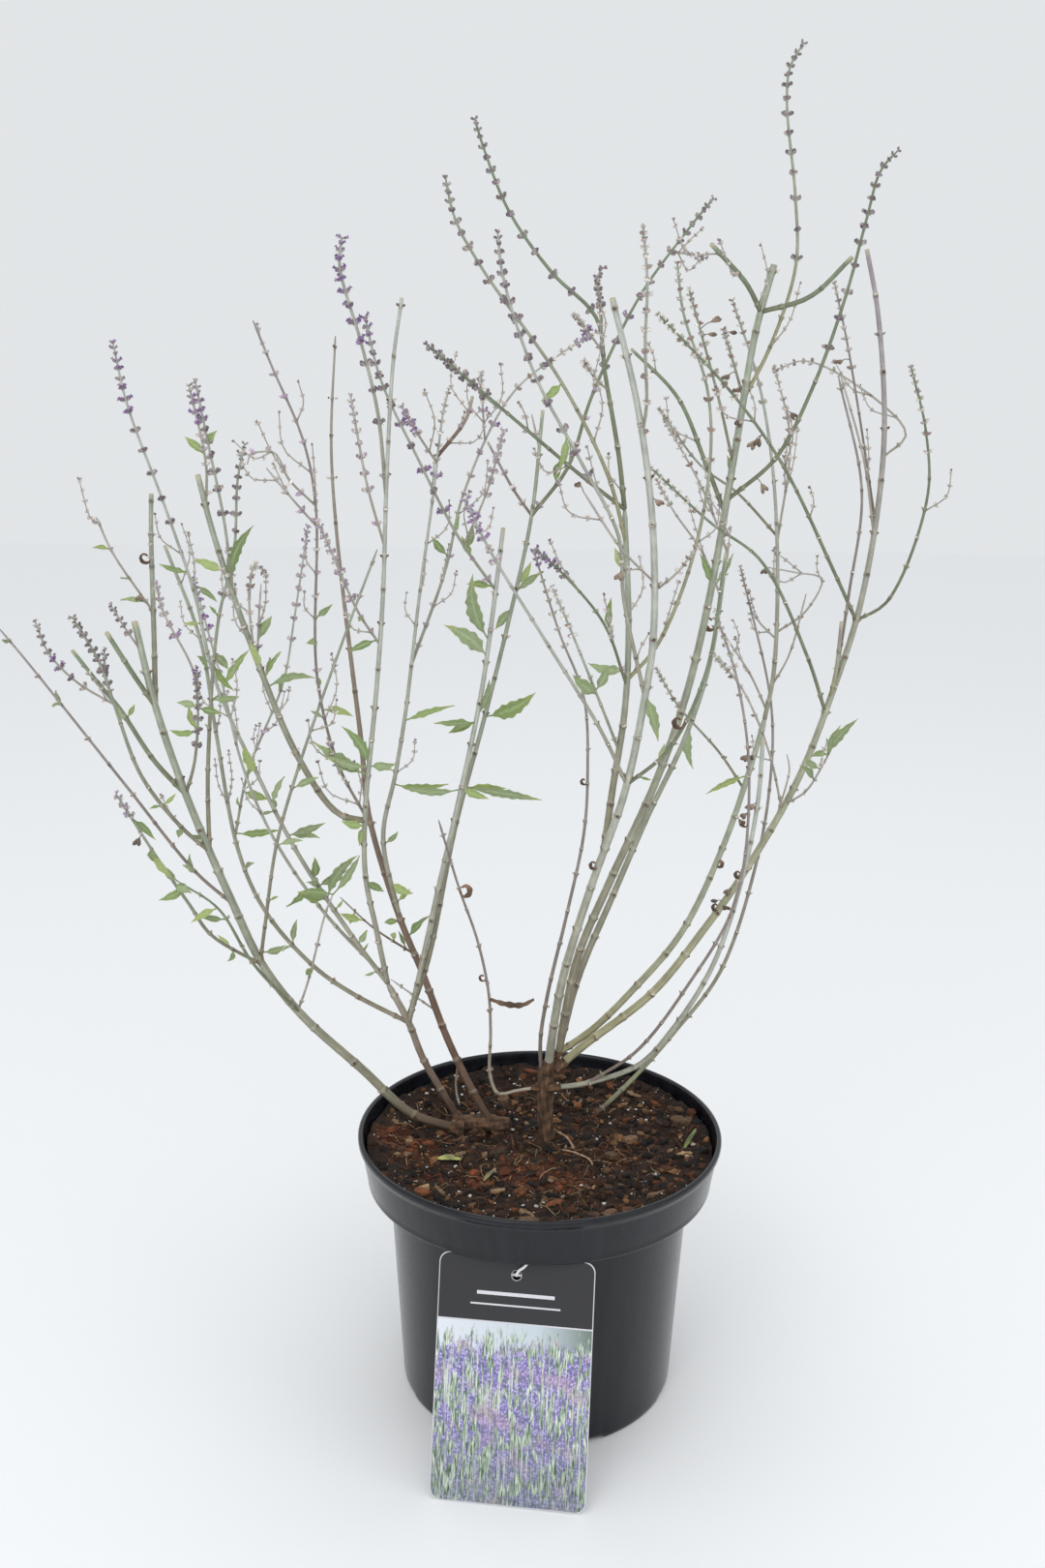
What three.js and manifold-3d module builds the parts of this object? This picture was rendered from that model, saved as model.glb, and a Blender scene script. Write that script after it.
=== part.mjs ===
// A potted russian sage: a young bush of thin woody canes with flower spikes, cut back once, in a pot.
// Millimetres, +Z up, origin at the centre of the pot's foot, front towards -Y.
import * as THREE from "three";
import { mergeVertices } from "three/addons/utils/BufferGeometryUtils.js";
import Module from "manifold-3d";

const wasm = await Module();
wasm.setup();

// Driving dimensions of the pot.
const POT = {
  baseRadius: 72,
  bodyTopRadius: 79.5,
  shelfHeight: 117,
  bandBottomRadius: 91,
  lipRadius: 96,
  height: 143,
  lipHeight: 4,
  lipStep: 1.5,
  lipRound: 0.8,
  footSlopeRadius: 73,
  footSlopeHeight: 4,
  wall: 1.6,
  floor: 2.5,
  notchDepth: 8,
  notchWidth: 14,
  notchHeight: 3.2,
  notchCount: 8,
  sides: 32,
};
const GAP = 0.3;
const SOIL_TOP = 130;
const SOIL_RINGS = 4;
const SOIL_BUMPS = 3;

// The soil is banked up against the wall, from one radius to another.
const SOIL_BANK = { height: 5, from: 66, to: 91 };

// The hanging card and the strand that holds it.
const TAG = {
  width: 76,
  thickness: 0.8,
  corner: 5,
  holeRadius: 2.5,
  holeFromTop: 9,
  bottomCentre: new THREE.Vector3(-15, -114.6, 0.8),
  topCentre: new THREE.Vector3(-11, -81.8, 116.1),
  yaw: (8 * Math.PI) / 180,
};
const TIE_RADIUS = 0.7;
const TIE_BAR_LENGTH = 8;
const TIE_HOLE = new THREE.Vector3(-6, -86.8, POT.shelfHeight);
const TIE_HOLE_RADIUS = 1.8;
const TIE_POCKET_RADIUS = 3;
const TIE_POCKET_HEIGHT = 17;
const TIE_KNOT_HEIGHT = 5;
const TIE_KNOT_RADIUS = 2.1;

// The stems are drawn as they are seen from VIEWPOINT: each [x, z] is a place in the upright plane through
// the pot's axis, and a stem that lies deeper moves away from the viewpoint along the line of sight.
const VIEWPOINT = new THREE.Vector3(-11, -749, 532);

const RING_SPACING = 75;
const RING_TURN = (27 * Math.PI) / 180;
const RING_STEP = 3;
const TWIG_RADIUS = 0.75;
const NODE_SWELL = 1.14;

// A blade: its cupping and droop are shares of its half width and its length.
const BLADE_THICKNESS = 0.6;
const BLADE_CUP = 0.3;
const BLADE_DROOP = 0.12;
const BLADE_NOTCH = 0.68;
const BLADE_STALK = 0.9;
const LONG_BLADE = 24;

const WHORL_FIRST = 4;
const WHORL_GAP = 12;
const WHORL_GROWTH = 1.2;
const WHORL_REACH = 2.5;
const WHORL_HALF_LENGTH = 1.3;
const WHORL_WAIST = 1.3;
const WHORL_YOUNG_SHARE = 0.62;
const WHORL_YOUNG_LENGTH = 30;
const WHORL_MOST = 5;

// Each cane is a node. A branch is [name, what it springs from, depth of its tip, radius at its foot,
// radius at its tip, length of its flower spike, points]. The first branch stands in the soil or the crown.
const CANES = [
  {
    node: "cane_left_outer",
    footDepth: 21,
    color: 0x9aa37c,
    branches: [
      ["main", "", -20, 2.5, 1.5, 0, [[-41, 141.5], [-50, 143.5], [-68, 150], [-93.5, 175], [-125, 206],
        [-144, 233], [-158, 266], [-179.5, 324], [-192.5, 369], [-200.5, 411]]],
      ["low", "main", -55, 1, 0.5, 0, [[-125, 206], [-149, 234], [-166, 264], [-185.5, 278]]],
      ["twig", "main", 8, 0.6, 0.5, 0, [[-125, 208], [-121, 224], [-111, 262], [-107, 272]]],
      ["near", "main", -100, 1, 0.5, 22, [[-144, 233], [-169.6, 249], [-180.6, 266],
        [-197.6, 294], [-214.5, 324]]],
      ["cross", "main", -60, 0.9, 0.5, 0, [[-144, 236], [-142, 256], [-135, 298], [-122.8, 338.5],
        [-97.7, 407], [-82, 447]]],
      ["far_left", "main", -10, 0.9, 0.5, 0, [[-158, 265], [-176.7, 283.5], [-209.5, 328.5], [-252.7, 388.5],
        [-266.7, 407]]],
      ["fork", "main", -90, 1.1, 0.5, 40, [[-169, 295.5], [-182.3, 306.6], [-201, 332.7], [-212.6, 369],
        [-219, 391], [-230.8, 413]]],
      ["fork_spike", "fork", -70, 0.6, 0.5, 20, [[-216.5, 374], [-216.3, 385], [-216, 397]]],
      ["tall", "main", 10, 1.1, 0.5, 78, [[-169, 295.5], [-168, 336], [-160, 410.5], [-150.7, 446.5],
        [-147.8, 479.5], [-143.7, 496.5]]],
      ["side", "main", 20, 1.3, 1, 0, [[-179.5, 324], [-194.3, 341], [-210.8, 368.5], [-217.9, 377.5],
        [-231.8, 396.5]]],
      ["side_spike", "side", -5, 0.6, 0.5, 45, [[-210.8, 368.5], [-230.9, 381], [-243.4, 395], [-249, 411]]],
      ["violet", "main", -35, 0.8, 0.5, 52, [[-179.5, 324], [-174.3, 341.5], [-171.5, 368.5],
        [-171.7, 388]]],
      ["fluffy", "violet", -50, 0.6, 0.5, 34, [[-171.5, 368.5], [-173, 387], [-186.5, 416.5], [-189, 430]]],
      ["cut_short", "main", -28, 1.2, 1.1, 0, [[-192.5, 369], [-202, 384], [-214.5, 405.5]]],
      ["cut_tall", "main", 0, 1.3, 1, 0, [[-192.5, 369], [-191.5, 400], [-190.2, 455.7], [-189.2, 472.5]]],
      ["top_left", "cut_tall", -35, 0.6, 0.5, 0, [[-191, 415], [-209.4, 444.5], [-216, 461]]],
      ["spikelet", "main", -30, 0.5, 0.5, 22, [[-196.5, 396], [-206, 409], [-211.7, 419]]],
    ],
  },
  {
    node: "cane_left_inner",
    footDepth: 26,
    color: 0xa3a48c,
    branches: [
      ["main", "", 16, 1.9, 1.7, 0, [[-42, 145], [-49.6, 159], [-62, 182.5], [-69, 202], [-79.8, 224]]],
      ["west", "main", 100, 1.3, 1, 0, [[-69, 202], [-99, 218.5], [-118, 233], [-141.4, 262], [-154, 293.5],
        [-163.4, 358], [-168.9, 402.5], [-184, 448]]],
      ["west_spike", "west", 125, 0.7, 0.5, 66, [[-155, 304], [-148, 336], [-129, 382], [-122.7, 413.7],
        [-115, 457.5]]],
      ["long_spike", "main", 20, 1.3, 0.5, 92, [[-79.8, 224], [-95, 245.5], [-124.8, 294.6], [-142.9, 333.7],
        [-162.4, 382], [-171, 426], [-184, 469.5], [-198.5, 514], [-203.5, 541.5]]],
      ["behind", "long_spike", 75, 1, 0.5, 70, [[-86, 234], [-111.5, 262], [-135.3, 299.7], [-150, 337],
        [-160, 385], [-171, 432]]],
      ["pale", "main", -85, 1.4, 0.7, 0, [[-79.8, 224], [-85.2, 253.5], [-90.2, 281.7], [-90, 314],
        [-83.5, 376.5], [-79.5, 425], [-77, 480.5], [-73.2, 535], [-69, 562.5]]],
      ["pale_left", "pale", -70, 0.6, 0.5, 50, [[-81.4, 399.5], [-92, 417.5], [-104.5, 447], [-110.2, 460]]],
      ["pale_up", "pale", -40, 0.6, 0.5, 52, [[-78.5, 447], [-86, 476], [-90, 497.5], [-93.5, 519]]],
      ["violet", "pale", -90, 0.8, 0.6, 92, [[-80.4, 472.5], [-80.8, 511], [-87.8, 541.5], [-97.5, 577],
        [-96, 589]]],
      ["thin", "pale", -30, 0.7, 0.5, 0, [[-91, 315], [-103, 340.7], [-112.4, 385.5], [-111, 467.5],
        [-116.2, 498], [-129.9, 531.5], [-138, 552]]],
      ["hooked", "thin", -50, 0.5, 0.5, 0, [[-111, 467], [-123.6, 480], [-130, 492],
        [-141.5, 491], [-143, 486.5]]],
      ["thin_side", "thin", -10, 0.5, 0.5, 0, [[-111, 460], [-122, 470.5], [-134, 485]]],
      ["cut", "pale", -50, 1.5, 1.2, 0, [[-90, 311], [-103.4, 315], [-122.3, 343], [-144.3, 400.5],
        [-160.5, 454], [-166.7, 481.5]]],
      ["cut_right", "cut", -75, 0.7, 0.5, 64, [[-152.7, 425.5], [-155, 460], [-161, 495.5], [-166, 524.5]]],
      ["cut_left", "cut", -45, 0.6, 0.5, 40, [[-163.5, 466], [-162.5, 486], [-169, 523]]],
      ["curled", "cut", -65, 0.5, 0.5, 30, [[-143, 397], [-144.3, 421.5], [-140.8, 439.5], [-135.7, 434]]],
      ["small", "cut", -20, 0.5, 0.5, 0, [[-141, 392], [-140, 412.5], [-138.3, 430]]],
      ["twin_a", "main", -10, 1.4, 1, 0, [[-69, 202], [-62.3, 233], [-53, 277], [-43.2, 321], [-32.4, 373.5],
        [-26.9, 412], [-21.5, 458]]],
      ["twin_a_spike", "twin_a", -60, 0.7, 0.5, 110, [[-26.3, 428], [-43, 453.5], [-62.8, 491.5],
        [-79, 525.5], [-86.3, 554.5]]],
      ["twin_a_small", "twin_a_spike", -45, 0.5, 0.5, 40, [[-38, 452], [-29.4, 475], [-21.5, 504]]],
      ["twin_b", "main", 12, 1.4, 0.8, 0, [[-68, 205], [-59, 236], [-44.3, 310], [-30.9, 362],
        [-18.7, 412.5], [-8, 464], [-3.3, 513]]],
      ["twin_b_arm", "twin_b", 30, 0.5, 0.5, 0, [[-5, 497], [-8.5, 511]]],
      ["twin_b_dark", "twin_b", 45, 0.7, 0.6, 0, [[-8.5, 463], [-17.3, 477], [-29, 498]]],
      ["twin_b_spike", "twin_b", 60, 0.9, 0.5, 110, [[-7.5, 465], [9, 487], [19.5, 519.5], [40.7, 564.5],
        [61.3, 593], [73, 607.5]]],
      ["twin_b_side", "twin_b_spike", 75, 0.5, 0.5, 12, [[56, 584], [64, 583], [70, 581.5]]],
    ],
  },
  {
    node: "cane_left_brown",
    footDepth: 23,
    color: 0x8a6d52,
    branches: [
      ["main", "", 80, 2.1, 0.5, 0, [[-24, 142], [-35, 162], [-49, 193.5], [-61.2, 228.5], [-73.5, 261],
        [-88, 314], [-91.2, 352], [-96, 398], [-101.6, 459], [-103, 497], [-100, 545.5]]],
      ["middle", "main", 35, 1.3, 0.5, 50, [[-73.5, 261], [-81, 302.8], [-74.5, 335.5], [-69, 368],
        [-61.9, 424.5], [-55, 473], [-50, 512], [-47.3, 522.5]]],
      ["middle_cut", "middle", 60, 0.9, 0.8, 0, [[-50.7, 491], [-39.5, 508.3], [-36.3, 518.8]]],
      ["middle_left", "middle", 5, 0.6, 0.5, 24, [[-52.8, 488.5], [-60.8, 499.5], [-69.8, 514.5]]],
      ["long", "middle", 125, 0.8, 0.5, 90, [[-66.5, 392], [-49.3, 437.5], [-40.3, 474.5], [-18, 520],
        [5.3, 539], [22.8, 549.5]]],
      ["long_up", "long", 75, 0.5, 0.5, 22, [[-30.5, 499.5], [-31.7, 517], [-32.4, 530]]],
      ["twig_low", "main", 55, 0.6, 0.5, 0, [[-56, 207], [-70, 220], [-78, 226]]],
      ["twig_high", "main", 85, 0.7, 0.5, 0, [[-66.8, 239], [-87, 254.5], [-103.3, 270.5]]],
      ["twig_dead", "main", 18, 0.7, 0.5, 0, [[-44, 178], [-44.5, 165], [-42.5, 155]]],
    ],
  },
  {
    node: "cane_dead",
    footDepth: 13,
    color: 0xa59c88,
    branches: [
      ["main", "", -12, 0.9, 0.5, 0, [[2, 166.3], [-11.7, 164], [-22, 162], [-26.3, 172], [-26.3, 197.5],
        [-27.5, 219.7], [-33.2, 247.5], [-43, 277], [-53, 312]]],
    ],
  },
  {
    node: "cane_middle_thin",
    footDepth: 12,
    color: 0x8f8a80,
    branches: [
      ["main", "", 60, 1, 0.5, 62, [[1, 170], [-0.3, 191.5], [3, 217.7], [12.5, 263.5], [20.2, 306],
        [21.4, 337.5], [18.7, 376], [6.1, 408], [-7, 448]]],
    ],
  },
  {
    node: "cane_front",
    footDepth: 8,
    color: 0xb4b8a6,
    branches: [
      ["main", "", -95, 2.2, 1.2, 0, [[4, 175], [5.5, 191.5], [11, 228], [24.7, 278.5], [40.3, 328],
        [48.8, 376], [52, 406.5], [49.9, 460.5], [41.4, 514], [28.1, 563.5]]],
      ["left", "main", -105, 0.9, 0.5, 34, [[41.5, 331], [27.6, 359], [-0.4, 403.5],
        [-28, 447.5], [-40, 471.5]]],
      ["right", "main", -110, 0.9, 0.6, 0, [[43.5, 331.5], [60.7, 349], [77.9, 387], [85.5, 447]]],
      ["near_spike", "main", -120, 0.9, 0.5, 110, [[48.8, 376], [37, 425], [34, 454], [14.2, 491],
        [-7, 528.5], [-22.4, 572.5], [-25, 592]]],
      ["leaf_twig", "main", -85, 0.5, 0.5, 0, [[51.5, 432], [35, 449], [16.5, 475.5]]],
      ["right_twig", "main", -60, 0.5, 0.5, 16, [[53, 430], [63, 438], [71, 449.5]]],
      ["upright", "main", -115, 0.7, 0.5, 88, [[44, 502], [45.3, 515.5], [43.8, 544],
        [44, 570.5], [41.3, 595]]],
      ["brown", "main", -25, 1.7, 1.2, 0, [[29.8, 298], [34, 328.5], [39.1, 370],
        [39.8, 411.5], [36.3, 467.5]]],
      ["dark", "brown", -65, 0.7, 0.5, 22, [[39.2, 383], [28, 412], [8.3, 435.5], [-6, 448]]],
      ["bowed", "brown", -45, 0.9, 0.5, 88, [[39.3, 384], [53.7, 401.5], [68.7, 441], [76.1, 487],
        [73.7, 522.5], [61, 557.5], [57.4, 579.5]]],
      ["second", "brown", -50, 0.7, 0.5, 30, [[37, 348], [25.2, 377], [11.7, 409], [2.4, 430]]],
      ["crest", "brown", -10, 1.1, 0.5, 112, [[36.5, 468], [32.9, 492.5], [25.5, 530], [21, 554.5],
        [0, 574.5], [-20, 601], [-31.3, 627], [-35.7, 640]]],
      ["crest_left", "brown", -75, 0.9, 0.5, 100, [[37, 452], [28.5, 482], [5.4, 525.5], [-32.4, 576.5],
        [-44.5, 597.5], [-48.8, 615]]],
      ["reach", "brown", -130, 0.9, 0.5, 50, [[36, 468.5], [15.3, 483], [-21.9, 513], [-57.5, 542]]],
      ["crest_up", "crest", -45, 0.5, 0.5, 28, [[25.3, 546], [23.3, 557], [21.1, 573], [23.6, 577]]],
      ["crest_side", "crest", -50, 0.5, 0.5, 20, [[24, 540], [16.8, 549], [10.9, 556]]],
      ["crest_low", "crest", -60, 0.5, 0.5, 16, [[25.8, 522], [20.6, 528], [15.4, 535.5]]],
    ],
  },
  {
    node: "cane_tall",
    footDepth: 14,
    color: 0x9c927c,
    branches: [
      ["main", "", 10, 2.1, 1.5, 0, [[9, 180], [11.5, 201], [18.5, 239.7], [34.5, 282], [54.7, 331],
        [67.7, 372], [77.7, 420.5], [88.4, 500], [94.8, 549], [101.9, 579]]],
      ["arm_left", "main", -25, 1.1, 1, 0, [[97.2, 559], [89.9, 570], [72.8, 587.5]]],
      ["arm_right", "main", -20, 1.1, 1, 0, [[97.2, 559], [119, 565], [137.4, 582.5]]],
      ["seeded", "main", 35, 0.7, 0.5, 26, [[90.3, 518], [86.3, 532], [79.7, 550.5]]],
      ["highest", "main", 20, 0.9, 0.5, 104, [[91, 519], [102.4, 544], [111.8, 578.5], [110, 608],
        [104, 647.5], [104.6, 662.5], [110.3, 672.5]]],
      ["right_spike", "main", -35, 1, 0.5, 90, [[86, 471], [107.1, 492], [122.5, 524], [135.3, 564.5],
        [143.1, 600], [147.9, 620], [155.3, 628.5]]],
      ["dark", "main", 65, 1.1, 0.8, 0, [[85, 468], [73.6, 490.5], [59.7, 519.5], [37.5, 541]]],
      ["left_spike", "main", -25, 0.7, 0.5, 70, [[87, 487.5], [78.7, 520], [63.2, 568]]],
      ["back", "main", 80, 1.9, 0.9, 0, [[11, 192], [18.8, 228], [36, 274], [52.3, 316], [68.8, 354.5],
        [79.8, 392.5], [86.5, 452]]],
      ["back_thin", "back", 105, 0.6, 0.5, 30, [[85, 450], [73, 477.5], [54.2, 508.5]]],
      ["back_twig", "back", 110, 0.6, 0.5, 20, [[83, 428], [74.4, 447], [59.6, 467], [51, 481.5]]],
      ["arched", "main", 60, 1.9, 1.5, 0, [[10.5, 186], [27.3, 199.7], [47.2, 221.5], [71.3, 253.5],
        [91, 301], [104.4, 349], [108.5, 367]]],
      ["arched_up", "arched", 35, 1.2, 0.5, 60, [[108.5, 366], [111.4, 387.5], [111.1, 433], [106.2, 485.5],
        [97.7, 525.5], [83.3, 563.5]]],
      ["arched_side", "arched_up", 65, 0.6, 0.5, 44, [[109.6, 453.5], [113.4, 501], [104.3, 534]]],
      ["arched_left", "arched_up", 130, 0.7, 0.5, 30, [[108.4, 457], [90, 475.5], [71.6, 488.5],
        [51.4, 514]]],
      ["arched_hook", "arched_up", 90, 0.6, 0.5, 0, [[112, 408.5], [125.5, 419.5], [132.3, 435.5],
        [120.8, 438], [105.8, 440.5]]],
      ["arched_bit", "arched_up", 75, 0.5, 0.5, 0, [[111, 407], [103.6, 413.5], [100.3, 418.5]]],
      ["arched_thin", "arched_up", 45, 0.5, 0.5, 0, [[112.3, 381.5], [118.6, 398], [125.2, 428]]],
      ["arched_diag", "arched", 110, 0.7, 0.5, 30, [[98.3, 328.5], [86.7, 348.5], [65, 372.5], [54, 390.5]]],
      ["arched_low", "arched_up", 100, 0.6, 0.5, 0, [[108.7, 370.5], [100.1, 388], [83.9, 411]]],
    ],
  },
  {
    node: "cane_right_outer",
    footDepth: 9,
    color: 0x9b9a78,
    branches: [
      ["main", "", 55, 2.2, 1.1, 0, [[8, 176.5], [23, 190.5], [57.3, 220], [82.6, 255], [104.3, 290.3],
        [126.6, 335.5], [140.7, 379], [152.2, 426], [157.8, 498], [151, 557.5], [143.9, 586]]],
      ["cut", "main", 25, 1, 0.9, 0, [[140, 376], [142.1, 391.5], [143.2, 414.5]]],
      ["diagonal", "main", -15, 0.9, 0.5, 34, [[137.5, 371], [127.4, 397.5], [102.7, 443.5], [77.6, 461.5],
        [47, 488]]],
      ["diagonal_high", "main", -70, 0.9, 0.5, 70, [[151, 413.5], [137.1, 440.5], [111.2, 488],
        [85.2, 521.5], [49.6, 556.5]]],
      ["far_right", "main", 10, 0.8, 0.5, 50, [[151.5, 413.5], [164.5, 424.5], [180.1, 473.5],
        [177.3, 504.5], [167.9, 534.5]]],
      ["purple", "main", 20, 0.8, 0.5, 0, [[141.5, 383], [145.9, 428.5], [148.9, 476.5], [134.5, 529.5]]],
      ["purple_mid", "main", 50, 0.6, 0.5, 0, [[156, 455], [149, 491], [135.4, 530.5]]],
      ["purple_high", "main", 70, 0.6, 0.5, 50, [[156.5, 463], [145.6, 511], [137.1, 546.5],
        [129.9, 571.5]]],
      ["arc", "main", 85, 0.6, 0.5, 34, [[158, 493.5], [167.9, 503.5], [156, 517],
        [119.2, 536.5], [104.1, 532]]],
      ["leafy", "main", -20, 0.6, 0.5, 0, [[121, 322], [130.6, 329], [141, 348]]],
      ["diagonal_low", "main", -20, 0.6, 0.5, 20, [[119, 321], [111.3, 349], [96.4, 381], [82.4, 397]]],
      ["twig", "main", 50, 0.5, 0.5, 0, [[115, 314], [121.9, 340.5], [120.2, 348]]],
    ],
  },
  {
    node: "cane_right_low",
    footDepth: 9,
    color: 0xb5b2a0,
    branches: [
      ["main", "", -10, 1.5, 1, 0, [[4, 165.6], [23.3, 168.3], [51.7, 179.5], [69, 200.3], [88, 235.3],
        [101, 283], [106.9, 322], [108, 355.5]]],
      ["purple", "main", -60, 0.9, 0.5, 30, [[24.5, 169], [50, 187], [75.4, 224], [98, 270], [102.1, 335],
        [93.6, 386], [81.5, 418.5]]],
    ],
  },
  {
    node: "cane_right_rooted",
    footDepth: 40,
    color: 0x93858a,
    branches: [
      ["main", "", 95, 1.3, 0.5, 30, [[29.3, 150.3], [49, 171.7], [69.5, 198], [92, 232], [107.5, 289.5],
        [112.6, 333], [111.1, 373], [92.7, 441]]],
    ],
  },
];

// A leaf is [cane, branch, its foot, its tip, width, how much deeper its tip lies].
const LEAVES = [
  ["cane_left_outer", "near", [-197.6, 294], [-188, 280], 4, -6],
  ["cane_left_outer", "near", [-208, 311], [-196, 300], 3.5, -5],
  ["cane_left_outer", "low", [-166, 264], [-180, 256], 4, -6],
  ["cane_left_outer", "low", [-181, 275], [-196, 268], 4.5, -5],
  ["cane_left_outer", "low", [-185, 278], [-193, 287], 4, 3],
  ["cane_left_outer", "violet", [-172, 357], [-186, 357], 4, -8],
  ["cane_left_outer", "tall", [-162, 390], [-153, 377], 4, 5],
  ["cane_left_inner", "cut", [-153, 430], [-141, 458], 6.5, -12],
  ["cane_left_inner", "cut", [-136, 379], [-113, 384], 5, -8],
  ["cane_left_inner", "cut", [-140, 388], [-145, 402], 4, -6],
  ["cane_left_inner", "west_spike", [-150, 326], [-138, 322], 6, 8],
  ["cane_left_inner", "long_spike", [-137, 320], [-130, 334], 5, -6],
  ["cane_left_inner", "long_spike", [-143, 334], [-150, 350], 6, -7],
  ["cane_left_inner", "thin", [-110, 369], [-95, 365], 4.5, 6],
  ["cane_left_inner", "pale", [-89, 335], [-115, 352], 9, -10],
  ["cane_left_inner", "pale", [-88, 340], [-101, 360], 6, -12],
  ["cane_left_inner", "pale", [-88, 341], [-74, 341], 5, -6],
  ["cane_left_inner", "pale", [-90, 308], [-102, 311], 5, -7],
  ["cane_left_inner", "long_spike", [-107, 270], [-125, 273], 7, -8],
  ["cane_left_inner", "long_spike", [-107, 270], [-94, 293], 6.5, -8],
  ["cane_left_inner", "behind", [-121, 276], [-131, 265], 4.5, 8],
  ["cane_left_inner", "pale", [-89, 280], [-81, 274], 5, -6],
  ["cane_left_inner", "twin_a", [-35, 362], [-55, 362], 5, -10],
  ["cane_left_inner", "twin_a", [-34, 366], [-28, 384], 5, -9],
  ["cane_left_inner", "twin_b", [-30, 364], [-5, 378], 9, -8],
  ["cane_left_inner", "twin_a", [-41, 329], [-72, 330], 4.5, -10],
  ["cane_left_inner", "twin_b", [-39, 329], [-19, 329], 5, 6],
  ["cane_left_inner", "twin_b", [-39, 329], [-1, 323], 5.5, -8],
  ["cane_left_inner", "twin_a", [-29, 396], [-50, 411], 9, -10],
  ["cane_left_inner", "twin_a", [-28, 405], [-36, 436], 8.5, -12],
  ["cane_left_inner", "twin_b", [-15, 427], [-3, 437], 4.5, 6],
  ["cane_left_brown", "middle", [-69, 363], [-45, 371], 4.5, -8],
  ["cane_left_brown", "middle", [-74, 331], [-48, 331], 5, -8],
  ["cane_left_brown", "middle", [-76, 280], [-66, 273], 5.5, -6],
  ["cane_front", "second", [25.2, 377], [13, 387], 7, -8],
  ["cane_front", "brown", [39.2, 389], [20.3, 393], 6, 7],
  ["cane_tall", "arched_diag", [72, 365], [74, 340], 6, 6],
  ["cane_tall", "arched", [101, 337], [80.8, 327], 4, 7],
  ["cane_right_outer", "leafy", [141, 348], [154.5, 366.5], 5, -6],
  ["cane_right_outer", "leafy", [140, 346], [146, 363], 4, 4],
  ["cane_right_outer", "leafy", [137, 340], [129, 347], 4, -4],
];

// A dried leaf curled into a ring is [cane, branch, where it sits on it, the ring's diameter, its side].
const CURLS = [
  ["cane_left_outer", "cut_tall", [-190.6, 441], 6, -1],
  ["cane_dead", "main", [-42, 275], 6.4, 1],
  ["cane_dead", "main", [-29, 228], 4, -1],
  ["cane_middle_thin", "main", [21.4, 334], 4, -1],
  ["cane_front", "right", [66, 364], 6.5, -1],
  ["cane_front", "main", [28, 291], 5, -1],
  ["cane_tall", "back", [81.5, 413], 9, -1],
  ["cane_tall", "arched", [88, 291], 4, 1],
  ["cane_right_outer", "main", [91, 266], 5, -1],
  ["cane_right_outer", "main", [102, 286], 5, -1],
  ["cane_right_low", "purple", [101, 313], 3.5, -1],
];
const CURL_TURN = 1.6 * Math.PI;
const CURL_STEPS = 5;
const CURL_WIDTH = 1.6;
const CURL_THICKNESS = 0.5;

// The dried leaf that hangs on the dead cane, with points as on a stem.
const DEAD_LEAF = [[-27, 216], [-19, 213.5], [-10, 213], [-4, 216]];
const DEAD_LEAF_WIDTH = 3.4;

// The woody crowns, by points in space with a radius at each.
const CROWN_SIDES = 6;
const CROWN_RIGHT = [
  [4.5, 12, 104, 4.4],
  [4.5, 12, 128, 4.6],
  [3.5, 12.5, 140, 4],
  [3, 12.5, 156, 4],
  [3.6, 12.8, 166, 4.4],
  [6.4, 13.4, 173, 4.4],
  [9.4, 14, 178.4, 3.2],
];
const CROWN_LEFT = [
  [-16, 21, 134, 3.2],
  [-23, 22.5, 133, 4.2],
  [-33, 23, 133, 4.6],
  [-44, 25, 132.4, 4],
];
const CROWN_LEFT_ROOT = [
  [-33, 23, 106, 4],
  [-33, 23, 132, 4.4],
];

// The root of the cane that stands in the soil by itself.
const RIGHT_ROOT = [
  [31.4, 40, 112, 1.5],
  [31.4, 40, 130.6, 1.5],
];

// Plain holes in the soil for what stands in it: middle and radius.
const SOIL_HOLES = [
  [-33, 23, 5.2],
  [4.5, 12, 5.4],
  [32.2, 40, 3.6],
];
const SOIL_HOLE_DEPTH = 30;

// The soil lies lower round the left crown.
const DISH = { x: -33, y: 23, depth: 3, reach: 24 };

// Fallen leaves on the soil: middle, heading in degrees, length, width, height of their lowest point.
const FALLEN_LEAVES = [
  ["fallen_leaf_left", -47, -14, 200, 13, 5, SOIL_TOP - 0.3],
  ["fallen_leaf_front", -26, -30, 60, 12, 4, SOIL_TOP + 0.4],
  ["fallen_leaf_right", 80, 2, 60, 15, 4.5, SOIL_TOP + 4.1],
];

// Chips of bark fused into the soil: middle, heading in degrees, length, width.
const CHIPS = [
  [49, 8, 25, 8, 6],
  [38, -8, 70, 9, 7],
  [78, 25, 150, 12, 6],
  [-20, 58, 60, 9, 6],
  [-8, -78, 5, 14, 6],
  [34, -70, 40, 8, 5],
  [60, -52, 20, 14, 4],
  [-70, 5, 100, 8, 5],
  [-60, -50, 30, 9, 5],
];
const CHIP_HEIGHT = 2.4;

// Pale rootlets that arch out of the soil beside the right crown, by points in space.
const ROOTLETS = [
  [[10, 8, 136], [15, 4, 134.5], [20, -1, 128]],
  [[9, 2, 128], [14, -5, 132], [21, -10, 132.5], [27, -17, 132], [28, -22, 127]],
  [[-64, -2, 128], [-63, -3, 132.5], [-62, -7, 127.5]],
];
const ROOTLET_RADIUS = 0.5;

// A closed solid from a geometry, and back.
function solidOf(geometry) {
  const bare = geometry.clone();
  bare.deleteAttribute("normal");
  bare.deleteAttribute("uv");
  const merged = mergeVertices(bare, 1e-4);
  return new wasm.Manifold(
    new wasm.Mesh({
      numProp: 3,
      vertProperties: merged.attributes.position.array,
      triVerts: new Uint32Array(merged.index.array),
    }),
  );
}

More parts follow.
